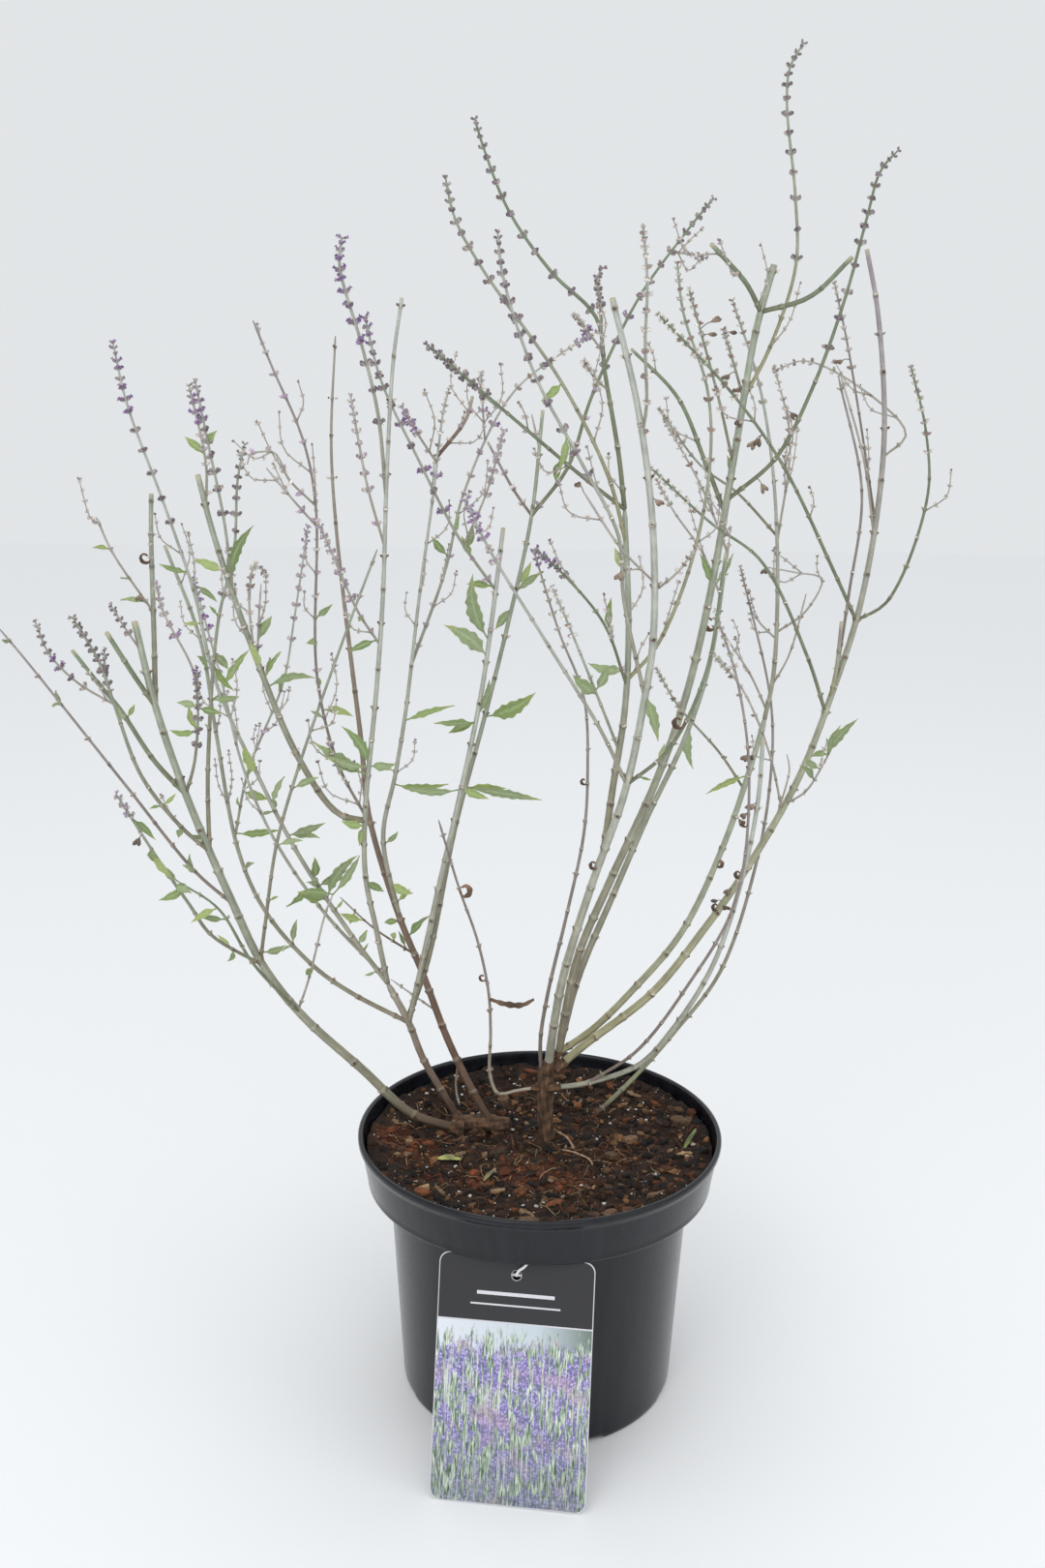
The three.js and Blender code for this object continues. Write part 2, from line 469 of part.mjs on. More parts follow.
function geometryOf(solid) {
  const mesh = solid.getMesh();
  const geometry = new THREE.BufferGeometry();
  geometry.setAttribute("position", new THREE.BufferAttribute(mesh.vertProperties, mesh.numProp));
  geometry.setIndex(new THREE.BufferAttribute(mesh.triVerts, 1));
  geometry.computeVertexNormals();
  return geometry;
}

function joined(solids) {
  return solids.reduce((all, next) => all.add(next));
}

function largestBody(solid) {
  return solid.decompose().reduce((best, body) => (body.volume() > best.volume() ? body : best));
}

function placeAtDepth([x, z], depth) {
  const reach = 1 - depth / VIEWPOINT.y;
  return new THREE.Vector3(
    VIEWPOINT.x + (x - VIEWPOINT.x) * reach,
    depth,
    VIEWPOINT.z + (z - VIEWPOINT.z) * reach,
  );
}

function seenAt(point) {
  const reach = 1 - point.y / VIEWPOINT.y;
  return [
    VIEWPOINT.x + (point.x - VIEWPOINT.x) / reach,
    VIEWPOINT.z + (point.z - VIEWPOINT.z) / reach,
  ];
}

// A stalk is a closed cylinder bent along a curve. Each station is { at, wide, deep }: a distance along
// the curve, and how far the section reaches to its two pairs of sides there.
function stalkGeometry(curve, stations, sides) {
  const length = curve.getLength();
  const spine = stations.map(({ at }) => curve.getPointAt(Math.min(at / length, 1)));
  const tangents = stations.map(({ at }) => curve.getTangentAt(Math.min(at / length, 1)));
  const across = new THREE.Vector3(0, 1, 0).cross(tangents[0]);
  if (across.lengthSq() < 1e-6) across.set(1, 0, 0);
  const frames = tangents.map((tangent) => {
    across.addScaledVector(tangent, -across.dot(tangent)).normalize();
    return { first: across.clone(), second: across.clone().cross(tangent) };
  });
  const rows = stations.length - 1;
  const geometry = new THREE.CylinderGeometry(1, 1, 1, sides, rows);
  const position = geometry.getAttribute("position");
  for (let i = 0; i < position.count; i += 1) {
    const row = Math.round((position.getY(i) + 0.5) * rows);
    const { wide, deep } = stations[row];
    const point = spine[row]
      .clone()
      .addScaledVector(frames[row].first, position.getX(i) * wide)
      .addScaledVector(frames[row].second, position.getZ(i) * deep);
    position.setXYZ(i, point.x, point.y, point.z);
  }
  return geometry;
}

// Distances of the flower whorls from a spike's tip: closer towards the tip.
function whorlDistances(spikeLength) {
  const distances = [];
  let gap = WHORL_GAP;
  for (let at = WHORL_FIRST; at < spikeLength && distances.length < WHORL_MOST; at += gap) {
    distances.push(at);
    gap = Math.max((spikeLength - WHORL_FIRST) / WHORL_MOST, gap * WHORL_GROWTH);
  }
  return distances;
}

// Distances along the bare part of a curve where a ring is needed: where it has turned or run far enough.
function ringDistances(curve, bare) {
  const length = curve.getLength();
  const steps = Math.max(Math.round(bare / RING_STEP), 1);
  const distances = [0];
  let heading = curve.getTangentAt(0);
  for (let i = 1; i < steps; i += 1) {
    const at = (bare * i) / steps;
    const tangent = curve.getTangentAt(at / length);
    const last = distances[distances.length - 1];
    if (tangent.angleTo(heading) > RING_TURN || at - last > RING_SPACING) {
      distances.push(at);
      heading = tangent;
    }
  }
  if (bare - distances[distances.length - 1] < RING_STEP && distances.length > 1) distances.pop();
  distances.push(bare);
  return distances;
}

// The stations of a branch: a small swelling at every ring, and on a flower spike a whorl of two
// opposite tufts, each pair turned a quarter round from the one below.
function branchStations(curve, footRadius, tipRadius, spikeLength) {
  const length = curve.getLength();
  const radiusAt = (at) => footRadius + ((tipRadius - footRadius) * at) / length;
  const rings = ringDistances(curve, Math.max(length - spikeLength, 1));
  const stations = rings.map((at, i) => {
    const radius = radiusAt(at) * (i > 0 && i < rings.length - 1 ? NODE_SWELL : 1);
    return { at, wide: radius, deep: radius };
  });
  if (spikeLength > 0) {
    const distances = whorlDistances(spikeLength).reverse();
    distances.forEach((distance, i) => {
      const at = length - distance;
      const grown = Math.min(distance / WHORL_YOUNG_LENGTH, 1);
      const reach = WHORL_REACH * (WHORL_YOUNG_SHARE + (1 - WHORL_YOUNG_SHARE) * grown);
      const radius = radiusAt(at);
      const waist = WHORL_WAIST * radius;
      const turned = i % 2 === 1;
      if (at - WHORL_HALF_LENGTH > stations[stations.length - 1].at + 0.5) {
        stations.push({ at: at - WHORL_HALF_LENGTH, wide: radius, deep: radius });
      }
      stations.push({ at, wide: turned ? waist : reach, deep: turned ? reach : waist });
      stations.push({ at: at + WHORL_HALF_LENGTH, wide: radius, deep: radius });
    });
    stations.push({ at: length, wide: tipRadius, deep: tipRadius });
  }
  return stations;
}

// Each branch's curve, stations and spine: the places of its rings, with its foot on the spine that it
// springs from.
function growBranches(cane) {
  const grown = new Map();
  for (const [name, parent, tipDepth, footRadius, tipRadius, spikeLength, points] of cane.branches) {
    const foot = parent ? seatOn(grown.get(parent), points[0]) : placeAtDepth(points[0], cane.footDepth);
    const runs = points.map((point, i) =>
      i ? Math.hypot(point[0] - points[i - 1][0], point[1] - points[i - 1][1]) : 0,
    );
    const total = runs.reduce((sum, run) => sum + run, 0);
    let gone = 0;
    const places = points.map((point, i) => {
      gone += runs[i];
      return i ? placeAtDepth(point, foot.y + ((tipDepth - foot.y) * gone) / total) : foot;
    });
    const curve = new THREE.CatmullRomCurve3(places, false, "centripetal");
    const stations = branchStations(curve, footRadius, tipRadius, spikeLength);
    const spine = stations.map(({ at }) => curve.getPointAt(Math.min(at / curve.getLength(), 1)));
    grown.set(name, { curve, stations, spine });
  }
  return grown;
}

// The place on a branch's spine that is seen nearest to [x, z].
const SEAT_STEPS = 24;
function seatOn({ spine }, seen) {
  let best = null;
  let least = Infinity;
  for (let i = 1; i < spine.length; i += 1) {
    for (let k = 0; k <= SEAT_STEPS; k += 1) {
      const place = spine[i - 1].clone().lerp(spine[i], k / SEAT_STEPS);
      const [x, z] = seenAt(place);
      const away = Math.hypot(x - seen[0], z - seen[1]);
      if (away < least) {
        least = away;
        best = place;
      }
    }
  }
  return best;
}

// A toothed blade from its foot to its tip, cupped along the middle and drooping to the tip.
function leafGeometry(foot, tip, width, lean) {
  const along = tip.clone().sub(foot);
  const length = along.length();
  along.normalize();
  const up = new THREE.Vector3(0.25 * lean, -1, 0.35).normalize();
  const side = up.clone().cross(along).normalize();
  const normal = along.clone().cross(side);
  const teeth = length > LONG_BLADE ? 5 : 3;
  const margin = [];
  for (let i = 1; i <= teeth; i += 1) {
    const part = i / (teeth + 1);
    const fullness = Math.sin(Math.PI * part ** 0.85);
    margin.push([part * length, width * 0.5 * fullness * (i % 2 ? 1 : BLADE_NOTCH)]);
  }
  const shape = new THREE.Shape();
  shape.moveTo(-BLADE_THICKNESS, -BLADE_STALK / 2);
  margin.forEach(([x, y]) => shape.lineTo(x, -y));
  shape.lineTo(length, 0);
  [...margin].reverse().forEach(([x, y]) => shape.lineTo(x, y));
  shape.lineTo(-BLADE_THICKNESS, BLADE_STALK / 2);
  const geometry = new THREE.ExtrudeGeometry(shape, { depth: BLADE_THICKNESS, bevelEnabled: false });
  const position = geometry.getAttribute("position");
  for (let i = 0; i < position.count; i += 1) {
    const x = position.getX(i);
    const y = position.getY(i);
    const bend = BLADE_CUP * Math.abs(y) - (BLADE_DROOP * x * x) / length;
    const point = foot
      .clone()
      .addScaledVector(along, x)
      .addScaledVector(side, y)
      .addScaledVector(normal, bend + position.getZ(i) - BLADE_THICKNESS / 2);
    position.setXYZ(i, point.x, point.y, point.z);
  }
  return geometry;
}

function ribbonGeometry(points, width, thickness) {
  const curve = new THREE.CatmullRomCurve3(points, false, "centripetal");
  const length = curve.getLength();
  const steps = CURL_STEPS;
  const stations = Array.from({ length: steps + 1 }, (_, i) => {
    const part = i / steps;
    const fullness = 0.45 + 0.55 * Math.sin(Math.PI * part);
    return { at: part * length, wide: thickness, deep: width * fullness };
  });
  return stalkGeometry(curve, stations, 4);
}

function curlGeometry(seat, diameter, sideways) {
  const radius = diameter / 2;
  const middle = seat.clone().add(new THREE.Vector3(sideways * radius, 0, 0));
  const points = Array.from({ length: CURL_STEPS + 1 }, (_, i) => {
    const turn = (CURL_TURN * i) / CURL_STEPS;
    const shrink = radius * (1 - (0.35 * i) / CURL_STEPS);
    return middle
      .clone()
      .add(new THREE.Vector3(-sideways * shrink * Math.cos(turn), i * 0.15, -shrink * Math.sin(turn)));
  });
  return ribbonGeometry(points, CURL_WIDTH, CURL_THICKNESS);
}

// The solid of one cane with all that grows on it.
function caneSolid(cane, grown) {
  const pieces = cane.branches.map(([name, , , footRadius, , spikeLength]) => {
    const { curve, stations } = grown.get(name);
    const sides = spikeLength === 0 && footRadius < TWIG_RADIUS ? 3 : 4;
    return solidOf(stalkGeometry(curve, stations, sides));
  });
  for (const [node, branch, foot, tip, width, lean] of LEAVES) {
    if (node !== cane.node) continue;
    const seat = seatOn(grown.get(branch), foot);
    pieces.push(solidOf(leafGeometry(seat, placeAtDepth(tip, seat.y + lean), width, lean / 10)));
  }
  for (const [node, branch, place, diameter, sideways] of CURLS) {
    if (node !== cane.node) continue;
    pieces.push(solidOf(curlGeometry(seatOn(grown.get(branch), place), diameter, sideways)));
  }
  if (cane.node === "cane_right_rooted") pieces.push(crownPiece(RIGHT_ROOT));
  if (cane.node === "cane_dead") {
    const depth = seatOn(grown.get("main"), DEAD_LEAF[0]).y;
    const points = DEAD_LEAF.map((point) => placeAtDepth(point, depth));
    pieces.push(solidOf(ribbonGeometry(points, DEAD_LEAF_WIDTH, CURL_THICKNESS)));
  }
  return largestBody(joined(pieces));
}

// The first stretch of a cane, grown by the gap, which is cut out of what holds it.
const SOCKET_LENGTH = 12;
function socketSolid(cane, grown) {
  const { curve, stations } = grown.get(cane.branches[0][0]);
  const past = stations.findIndex(({ at }) => at > SOCKET_LENGTH);
  const wider = stations
    .slice(0, past + 1)
    .map(({ at, wide, deep }) => ({ at, wide: wide + GAP * Math.SQRT2, deep: deep + GAP * Math.SQRT2 }));
  const foot = curve.getPointAt(0);
  const heading = curve.getTangentAt(0);
  const below = new THREE.LineCurve3(
    foot.clone().addScaledVector(heading, -GAP),
    foot.clone().addScaledVector(heading, GAP),
  );
  const ends = [0, 2 * GAP].map((at) => ({ at, wide: wider[0].wide, deep: wider[0].deep }));
  return joined([solidOf(stalkGeometry(curve, wider, 4)), solidOf(stalkGeometry(below, ends, 4))]);
}

function crownPiece(places) {
  const points = places.map(([x, y, z]) => new THREE.Vector3(x, y, z));
  const curve = new THREE.CatmullRomCurve3(points, false, "centripetal");
  const steps = places.length;
  const stations = Array.from({ length: steps + 1 }, (_, i) => {
    const part = (i / steps) * (places.length - 1);
    const low = Math.min(Math.floor(part), places.length - 2);
    const radius = places[low][3] + (places[low + 1][3] - places[low][3]) * (part - low);
    const knobbly = 1 + 0.08 * Math.sin(i * 2.1);
    const at = (curve.getLength() * i) / steps;
    return { at, wide: radius * knobbly, deep: radius / knobbly };
  });
  return solidOf(stalkGeometry(curve, stations, CROWN_SIDES));
}

function potGeometry() {
  const { wall, floor, height, shelfHeight, lipRadius, lipStep, lipRound, lipHeight } = POT;
  const underLip = height - lipHeight;
  const profile = [
    [0, 0],
    [POT.baseRadius, 0],
    [POT.footSlopeRadius, POT.footSlopeHeight],
    [POT.bodyTopRadius, shelfHeight],
    [POT.bandBottomRadius, shelfHeight],
    [lipRadius - lipStep, underLip],
    [lipRadius, underLip + lipStep],
    [lipRadius, height - lipRound],
    [lipRadius - lipRound, height],
    [lipRadius - wall - lipRound, height],
    [lipRadius - lipStep - wall, underLip],
    [POT.bandBottomRadius - wall, shelfHeight + wall],
    [POT.bodyTopRadius - wall, shelfHeight + wall],
    [POT.footSlopeRadius - wall, POT.footSlopeHeight],
    [POT.baseRadius - wall, floor],
    [0, floor],
  ].map(([r, z]) => new THREE.Vector2(r, z));
  const body = new THREE.LatheGeometry(profile, POT.sides);
  body.rotateX(Math.PI / 2);
  let solid = solidOf(body);
  for (let i = 0; i < POT.notchCount; i += 1) {
    const notch = new THREE.BoxGeometry(2 * POT.notchDepth, POT.notchWidth, POT.notchHeight);
    notch.translate(POT.footSlopeRadius, 0, 0);
    notch.rotateZ(((i + 0.5) * 2 * Math.PI) / POT.notchCount);
    solid = solid.subtract(solidOf(notch));
  }
  const hole = shaftSolid(TIE_HOLE, TIE_HOLE_RADIUS, 4 * POT.wall);
  return geometryOf(solid.subtract(hole));
}

// An upright shaft round a middle.
const SHAFT_SIDES = 8;
function shaftSolid(middle, radius, height) {
  const shaft = new THREE.CylinderGeometry(radius, radius, height, SHAFT_SIDES);
  shaft.rotateX(Math.PI / 2);
  shaft.translate(middle.x, middle.y, middle.z);
  return solidOf(shaft);
}

// The height of the soil at a place: low bumps, smooth where a fallen leaf rests and round the left crown.
const CALM_REACH = 26;
function soilHeight(x, y) {
  const bumps = 0.9 * Math.sin(x * 0.19 + 1.3) * Math.cos(y * 0.23) + 0.7 * Math.sin(x * 0.47 - y * 0.41);
  const calm = FALLEN_LEAVES.reduce(
    (least, [, leafX, leafY]) => Math.min(least, Math.hypot(x - leafX, y - leafY) / CALM_REACH),
    Math.min(Math.hypot(x - DISH.x, y - DISH.y) / CALM_REACH, 1),
  );
  const dish = DISH.depth * Math.exp(-((Math.hypot(x - DISH.x, y - DISH.y) / DISH.reach) ** 2));
  const bank = THREE.MathUtils.smoothstep(Math.hypot(x, y), SOIL_BANK.from, SOIL_BANK.to);
  return SOIL_TOP - dish + bumps * calm ** 2 + SOIL_BANK.height * bank;
}

// The body of soil fills the pot, and its top is a net of rings drawn out to the wall.
function soilGeometry(holes) {
  const wallGap = POT.wall + GAP;
  const bandHeight = POT.height - POT.lipHeight - POT.shelfHeight;
  const slope = (POT.lipRadius - POT.lipStep - POT.bandBottomRadius) / bandHeight;
  const lowestEdge = SOIL_TOP + SOIL_BANK.height - SOIL_BUMPS;
  const edge = POT.bandBottomRadius - wallGap + slope * (lowestEdge - POT.shelfHeight);
  const profile = [
    [0, POT.floor + GAP],
    [POT.baseRadius - wallGap, POT.floor + GAP],
    [POT.bodyTopRadius - wallGap, POT.shelfHeight - wallGap],
    [POT.bodyTopRadius - wallGap, POT.shelfHeight + wallGap],
    [POT.bandBottomRadius - wallGap, POT.shelfHeight + wallGap],
  ];
  for (let i = SOIL_RINGS; i >= 0; i -= 1) profile.push([(edge * i) / SOIL_RINGS, SOIL_TOP]);
  const body = new THREE.LatheGeometry(profile.map(([r, z]) => new THREE.Vector2(r, z)), POT.sides);
  body.rotateX(Math.PI / 2);
  const position = body.getAttribute("position");
  for (let i = 0; i < position.count; i += 1) {
    if (position.getZ(i) < SOIL_TOP - 0.01) continue;
    position.setZ(i, soilHeight(position.getX(i), position.getY(i)));
  }
  const pieces = [solidOf(body)];
  for (const [x, y, heading, length, width] of CHIPS) {
    const chip = new THREE.BoxGeometry(length, width, CHIP_HEIGHT + 3);
    chip.rotateX(0.12 * Math.sin(x));
    chip.rotateZ((heading * Math.PI) / 180);
    chip.translate(x, y, soilHeight(x, y) - 1.5);
    pieces.push(solidOf(chip));
  }
  for (const places of ROOTLETS) {
    const points = places.map((place) => new THREE.Vector3(...place));
    const curve = new THREE.CatmullRomCurve3(points, false, "centripetal");
    const steps = places.length + 1;
    const stations = Array.from({ length: steps + 1 }, (_, i) => ({
      at: (curve.getLength() * i) / steps,
      wide: ROOTLET_RADIUS,
      deep: ROOTLET_RADIUS,
    }));
    pieces.push(solidOf(stalkGeometry(curve, stations, 4)));
  }
  return geometryOf(largestBody(holes.reduce((soil, hole) => soil.subtract(hole), joined(pieces))));
}

function tagHeight() {
  return TAG.topCentre.distanceTo(TAG.bottomCentre);
}

// The card stands on its lower edge and leans back to the pot, turned a little about its own height.
function tagFrame() {
  const up = TAG.topCentre.clone().sub(TAG.bottomCentre).normalize();
  const right = new THREE.Vector3(Math.cos(TAG.yaw), Math.sin(-TAG.yaw), 0);
  right.addScaledVector(up, -right.dot(up)).normalize();
  const out = right.clone().cross(up);
  return new THREE.Matrix4().makeBasis(right, up, out).setPosition(TAG.bottomCentre);
}

function tagGeometry() {
  const { width, corner, thickness } = TAG;
  const height = tagHeight();
  const half = width / 2;
  const shape = new THREE.Shape();
  shape.moveTo(-half + corner, 0);
  shape.lineTo(half - corner, 0);
  shape.absarc(half - corner, corner, corner, -Math.PI / 2, 0);
  shape.absarc(half - corner, height - corner, corner, 0, Math.PI / 2);
  shape.absarc(-half + corner, height - corner, corner, Math.PI / 2, Math.PI);
  shape.absarc(-half + corner, corner, corner, Math.PI, 1.5 * Math.PI);
  const hole = new THREE.Path();
  hole.absarc(0, height - TAG.holeFromTop, TAG.holeRadius, 0, 2 * Math.PI, true);
  shape.holes.push(hole);
  const options = { depth: thickness, bevelEnabled: false, curveSegments: 3 };
  const geometry = new THREE.ExtrudeGeometry(shape, options);
  geometry.translate(0, 0, -thickness / 2);
  geometry.applyMatrix4(tagFrame());
  return geometryOf(solidOf(geometry));
}

// The strand: from a knot in the soil down through the hole under the rim, in front of the card, through
// the card's hole to a cross bar behind it.
function tieSolid() {
  const frame = tagFrame();
  const onCard = (right, up, out) => new THREE.Vector3(right, up, out).applyMatrix4(frame);
  const height = tagHeight();
  const holeHeight = height - TAG.holeFromTop;
  const knot = TIE_HOLE.clone().add(new THREE.Vector3(0, 0, TIE_KNOT_HEIGHT));
  const barOut = -TAG.thickness / 2 - TIE_RADIUS - GAP;
  const points = [
    knot,
    TIE_HOLE.clone().add(new THREE.Vector3(0, 0, -0.6)),
    onCard(4, height - 3.6, 3),
    onCard(1, holeHeight + 2.6, 1.7),
    onCard(0, holeHeight, 0),
    onCard(0, holeHeight - 0.2, barOut),
  ];
  const strand = new THREE.CatmullRomCurve3(points, false, "centripetal");
  const steps = 10;
  const thick = { wide: TIE_RADIUS, deep: TIE_RADIUS };
  const stations = Array.from({ length: steps + 1 }, (_, i) => ({
    at: (strand.getLength() * i) / steps,
    ...thick,
  }));
  const half = TIE_BAR_LENGTH / 2;
  const bar = new THREE.LineCurve3(
    onCard(-half, holeHeight - 0.2, barOut),
    onCard(half, holeHeight - 0.2, barOut),
  );
  const ends = [0, TIE_BAR_LENGTH].map((at) => ({ at, ...thick }));
  const ball = new THREE.SphereGeometry(TIE_KNOT_RADIUS, 6, 4);
  ball.translate(knot.x, knot.y, knot.z + 0.6);
  return joined([
    solidOf(stalkGeometry(strand, stations, 5)),
    solidOf(stalkGeometry(bar, ends, 5)),
    solidOf(ball),
  ]);
}

function fallenLeafGeometry([, x, y, heading, length, width, lowest]) {
  const geometry = leafGeometry(new THREE.Vector3(), new THREE.Vector3(0, 0, -length), width, 0);
  geometry.computeBoundingBox();
  const middle = geometry.boundingBox.getCenter(new THREE.Vector3());
  geometry.translate(-middle.x, -middle.y, -middle.z);
  geometry.rotateX(-Math.PI / 2);
  geometry.rotateZ((heading * Math.PI) / 180);
  geometry.computeBoundingBox();
  geometry.translate(x, y, lowest - geometry.boundingBox.min.z);
  return geometryOf(solidOf(geometry));
}

const part = new THREE.Group();

function add(name, geometry, color, roughness) {
  const material = new THREE.MeshStandardMaterial({ color, roughness, metalness: 0 });
  const mesh = new THREE.Mesh(geometry, material);
  mesh.name = name;
  part.add(mesh);
}

const grownCanes = new Map(CANES.map((cane) => [cane.node, growBranches(cane)]));
const socketOf = (cane) => socketSolid(cane, grownCanes.get(cane.node));
const caneSockets = joined(CANES.map(socketOf));
const crownRight = largestBody(crownPiece(CROWN_RIGHT).subtract(caneSockets));
const crownLeft = largestBody(
  joined([crownPiece(CROWN_LEFT), crownPiece(CROWN_LEFT_ROOT)]).subtract(caneSockets),
);
const soilHoles = [
  ...SOIL_HOLES.map(([x, y, radius]) =>
    shaftSolid(new THREE.Vector3(x, y, SOIL_TOP), radius, 2 * SOIL_HOLE_DEPTH),
  ),
  shaftSolid(TIE_HOLE, TIE_POCKET_RADIUS, TIE_POCKET_HEIGHT),
];

add("pot", potGeometry(), 0x2f3236, 0.5);
add("soil", soilGeometry(soilHoles), 0x3f2a1e, 0.95);
add("crown_left", geometryOf(crownLeft), 0x6a4c36, 0.9);
add("crown_right", geometryOf(crownRight), 0x6a4c36, 0.9);
for (const cane of CANES) {
  add(cane.node, geometryOf(caneSolid(cane, grownCanes.get(cane.node))), cane.color, 0.85);
}
for (const fallen of FALLEN_LEAVES) {
  add(fallen[0], fallenLeafGeometry(fallen), 0x8c9a4a, 0.8);
}
add("tag", tagGeometry(), 0x55506a, 0.35);
add("tag_tie", geometryOf(tieSolid()), 0xf2f2ee, 0.5);

export default part;
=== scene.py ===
"""A potted russian sage, dressed round its CAD frame: fine stems, leaves, flower whorls, soil, pot and card.

Sizes are in millimetres until a piece is made, and then in metres. Front is -Y and up is +Z.
"""
import math

import bpy
import numpy as np
from mathutils import Matrix, Vector


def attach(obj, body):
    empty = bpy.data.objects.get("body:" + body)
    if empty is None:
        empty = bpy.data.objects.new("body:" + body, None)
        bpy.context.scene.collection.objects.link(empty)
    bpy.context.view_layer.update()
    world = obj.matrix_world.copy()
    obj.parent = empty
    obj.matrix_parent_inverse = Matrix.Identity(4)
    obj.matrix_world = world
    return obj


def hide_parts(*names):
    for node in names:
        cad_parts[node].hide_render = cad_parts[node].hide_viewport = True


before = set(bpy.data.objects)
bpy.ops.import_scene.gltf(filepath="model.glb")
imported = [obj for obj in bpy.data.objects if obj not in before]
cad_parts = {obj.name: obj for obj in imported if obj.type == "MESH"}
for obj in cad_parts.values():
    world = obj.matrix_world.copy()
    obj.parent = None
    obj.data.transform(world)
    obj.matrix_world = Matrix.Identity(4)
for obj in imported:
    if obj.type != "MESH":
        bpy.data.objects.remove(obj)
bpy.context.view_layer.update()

MM = 0.001

# The camera of the photograph: place in mm, pitch and roll in degrees, focal length on a 36 mm high frame.
CAMERA_PLACE = (-11.0, -749.0, 532.0)
CAMERA_PITCH = 15.0
CAMERA_ROLL = 0.6
CAMERA_LENS = 35.64

# The pot.
POT_BASE_RADIUS = 72.0
POT_FOOT_SLOPE = (73.0, 4.0)
POT_BODY_TOP_RADIUS = 79.5
POT_SHELF = 117.0
POT_BAND_RADIUS = 91.0
POT_LIP_RADIUS = 96.0
POT_HEIGHT = 143.0
POT_LIP_HEIGHT = 4.0
POT_LIP_STEP = 1.5
POT_WALL = 1.6
POT_FLOOR = 2.5
POT_NOTCHES = 8
POT_NOTCH_WIDTH = 14.0
POT_NOTCH_HEIGHT = 3.2
GAP = 0.3

# The soil.
SOIL_TOP = 130.0
SOIL_EDGE = 91.4
SOIL_BANK = (6.0, 66, 91)
DISH = (-33.0, 23.0, 3.0, 24.0)
ORANGE_PATCHES = [(-6, -20, 17), (14, -36, 13), (-66, -2, 14), (-78, 7, 12), (40, -8, 9), (-34, -34, 9)]

# The card and its strand.
CARD_WIDTH = 76.0
CARD_THICKNESS = 0.8
CARD_CORNER = 5.0
CARD_HOLE_RADIUS = 2.5
CARD_HOLE_DROP = 9.0
CARD_BOTTOM = (-15.0, -114.6, 0.8)
CARD_TOP = (-11.0, -81.8, 116.1)
CARD_YAW = math.radians(8)
CARD_HEADER = 0.265
TIE_RADIUS = 0.7
TIE_BAR = 8.0
TIE_HOLE = (-6.0, -86.8, 117.0)

# Colours as they look on screen, 0 to 1. A stem's tone runs from its foot through its middle to its tip.
STEMS = {
    "olive": [(0.54, 0.51, 0.43), (0.60, 0.61, 0.54), (0.64, 0.67, 0.60)],
    "pale": [(0.61, 0.60, 0.53), (0.69, 0.70, 0.65), (0.73, 0.74, 0.71)],
    "green": [(0.62, 0.60, 0.46), (0.63, 0.64, 0.56), (0.65, 0.68, 0.60)],
    "mauve": [(0.62, 0.60, 0.46), (0.63, 0.64, 0.56), (0.63, 0.59, 0.61)],
    "deep": [(0.48, 0.49, 0.39), (0.50, 0.54, 0.44), (0.53, 0.58, 0.48)],
    "brown": [(0.42, 0.32, 0.26), (0.53, 0.47, 0.41), (0.64, 0.62, 0.57)],
    "dry": [(0.53, 0.48, 0.44), (0.58, 0.54, 0.52), (0.64, 0.61, 0.60)],
    "dead": [(0.72, 0.68, 0.60), (0.58, 0.54, 0.51), (0.54, 0.50, 0.48)],
    "rooted": [(0.62, 0.63, 0.50), (0.58, 0.55, 0.52), (0.62, 0.59, 0.58)],
    "twig": [(0.66, 0.63, 0.58), (0.72, 0.70, 0.66), (0.77, 0.75, 0.73)],
}
EARTH = (0.33, 0.25, 0.19)
SCAR = (0.30, 0.22, 0.17)
NODE_PALE = (0.80, 0.78, 0.71)
BUDS = [(0.66, 0.60, 0.49), (0.46, 0.37, 0.30), (0.36, 0.28, 0.22), (0.56, 0.48, 0.39)]
CUT_FACE = (0.78, 0.75, 0.64)
LEAF_GREENS = [
    (0.46, 0.54, 0.35), (0.54, 0.62, 0.38), (0.62, 0.68, 0.43), (0.52, 0.58, 0.43), (0.56, 0.62, 0.47),
]
LEAF_YELLOW = (0.72, 0.71, 0.42)
LEAF_VEIN = (0.76, 0.79, 0.62)
LEAF_UNDER = (0.66, 0.70, 0.60)
DEAD_BROWN = (0.50, 0.39, 0.31)
TUFTS = [(0.80, 0.76, 0.72), (0.76, 0.71, 0.69), (0.66, 0.68, 0.59), (0.58, 0.49, 0.43), (0.84, 0.81, 0.78)]
HUSK_TAN = (0.47, 0.41, 0.36)
WOOL_TINT = (0.92, 0.89, 0.89)
PALE_CALYX = [(0.80, 0.75, 0.75), (0.72, 0.66, 0.71), (0.84, 0.80, 0.78), (0.70, 0.61, 0.69)]
CALYX = [(0.53, 0.47, 0.51), (0.62, 0.56, 0.57), (0.45, 0.38, 0.44), (0.69, 0.64, 0.63), (0.50, 0.43, 0.43)]
FAINT_CALYX = [
    (0.66, 0.60, 0.61), (0.58, 0.52, 0.55), (0.74, 0.69, 0.69), (0.54, 0.48, 0.50), (0.70, 0.65, 0.66),
]
BLOOM = [(0.46, 0.34, 0.57), (0.53, 0.40, 0.61), (0.62, 0.48, 0.66)]
CROWN_BROWN = (0.36, 0.27, 0.20)
SOIL_HIDDEN = (0.2, 0.13, 0.09)
SOIL_TINTS = [(0.075, 0.05, 0.035), (0.24, 0.15, 0.09), (0.41, 0.22, 0.11)]
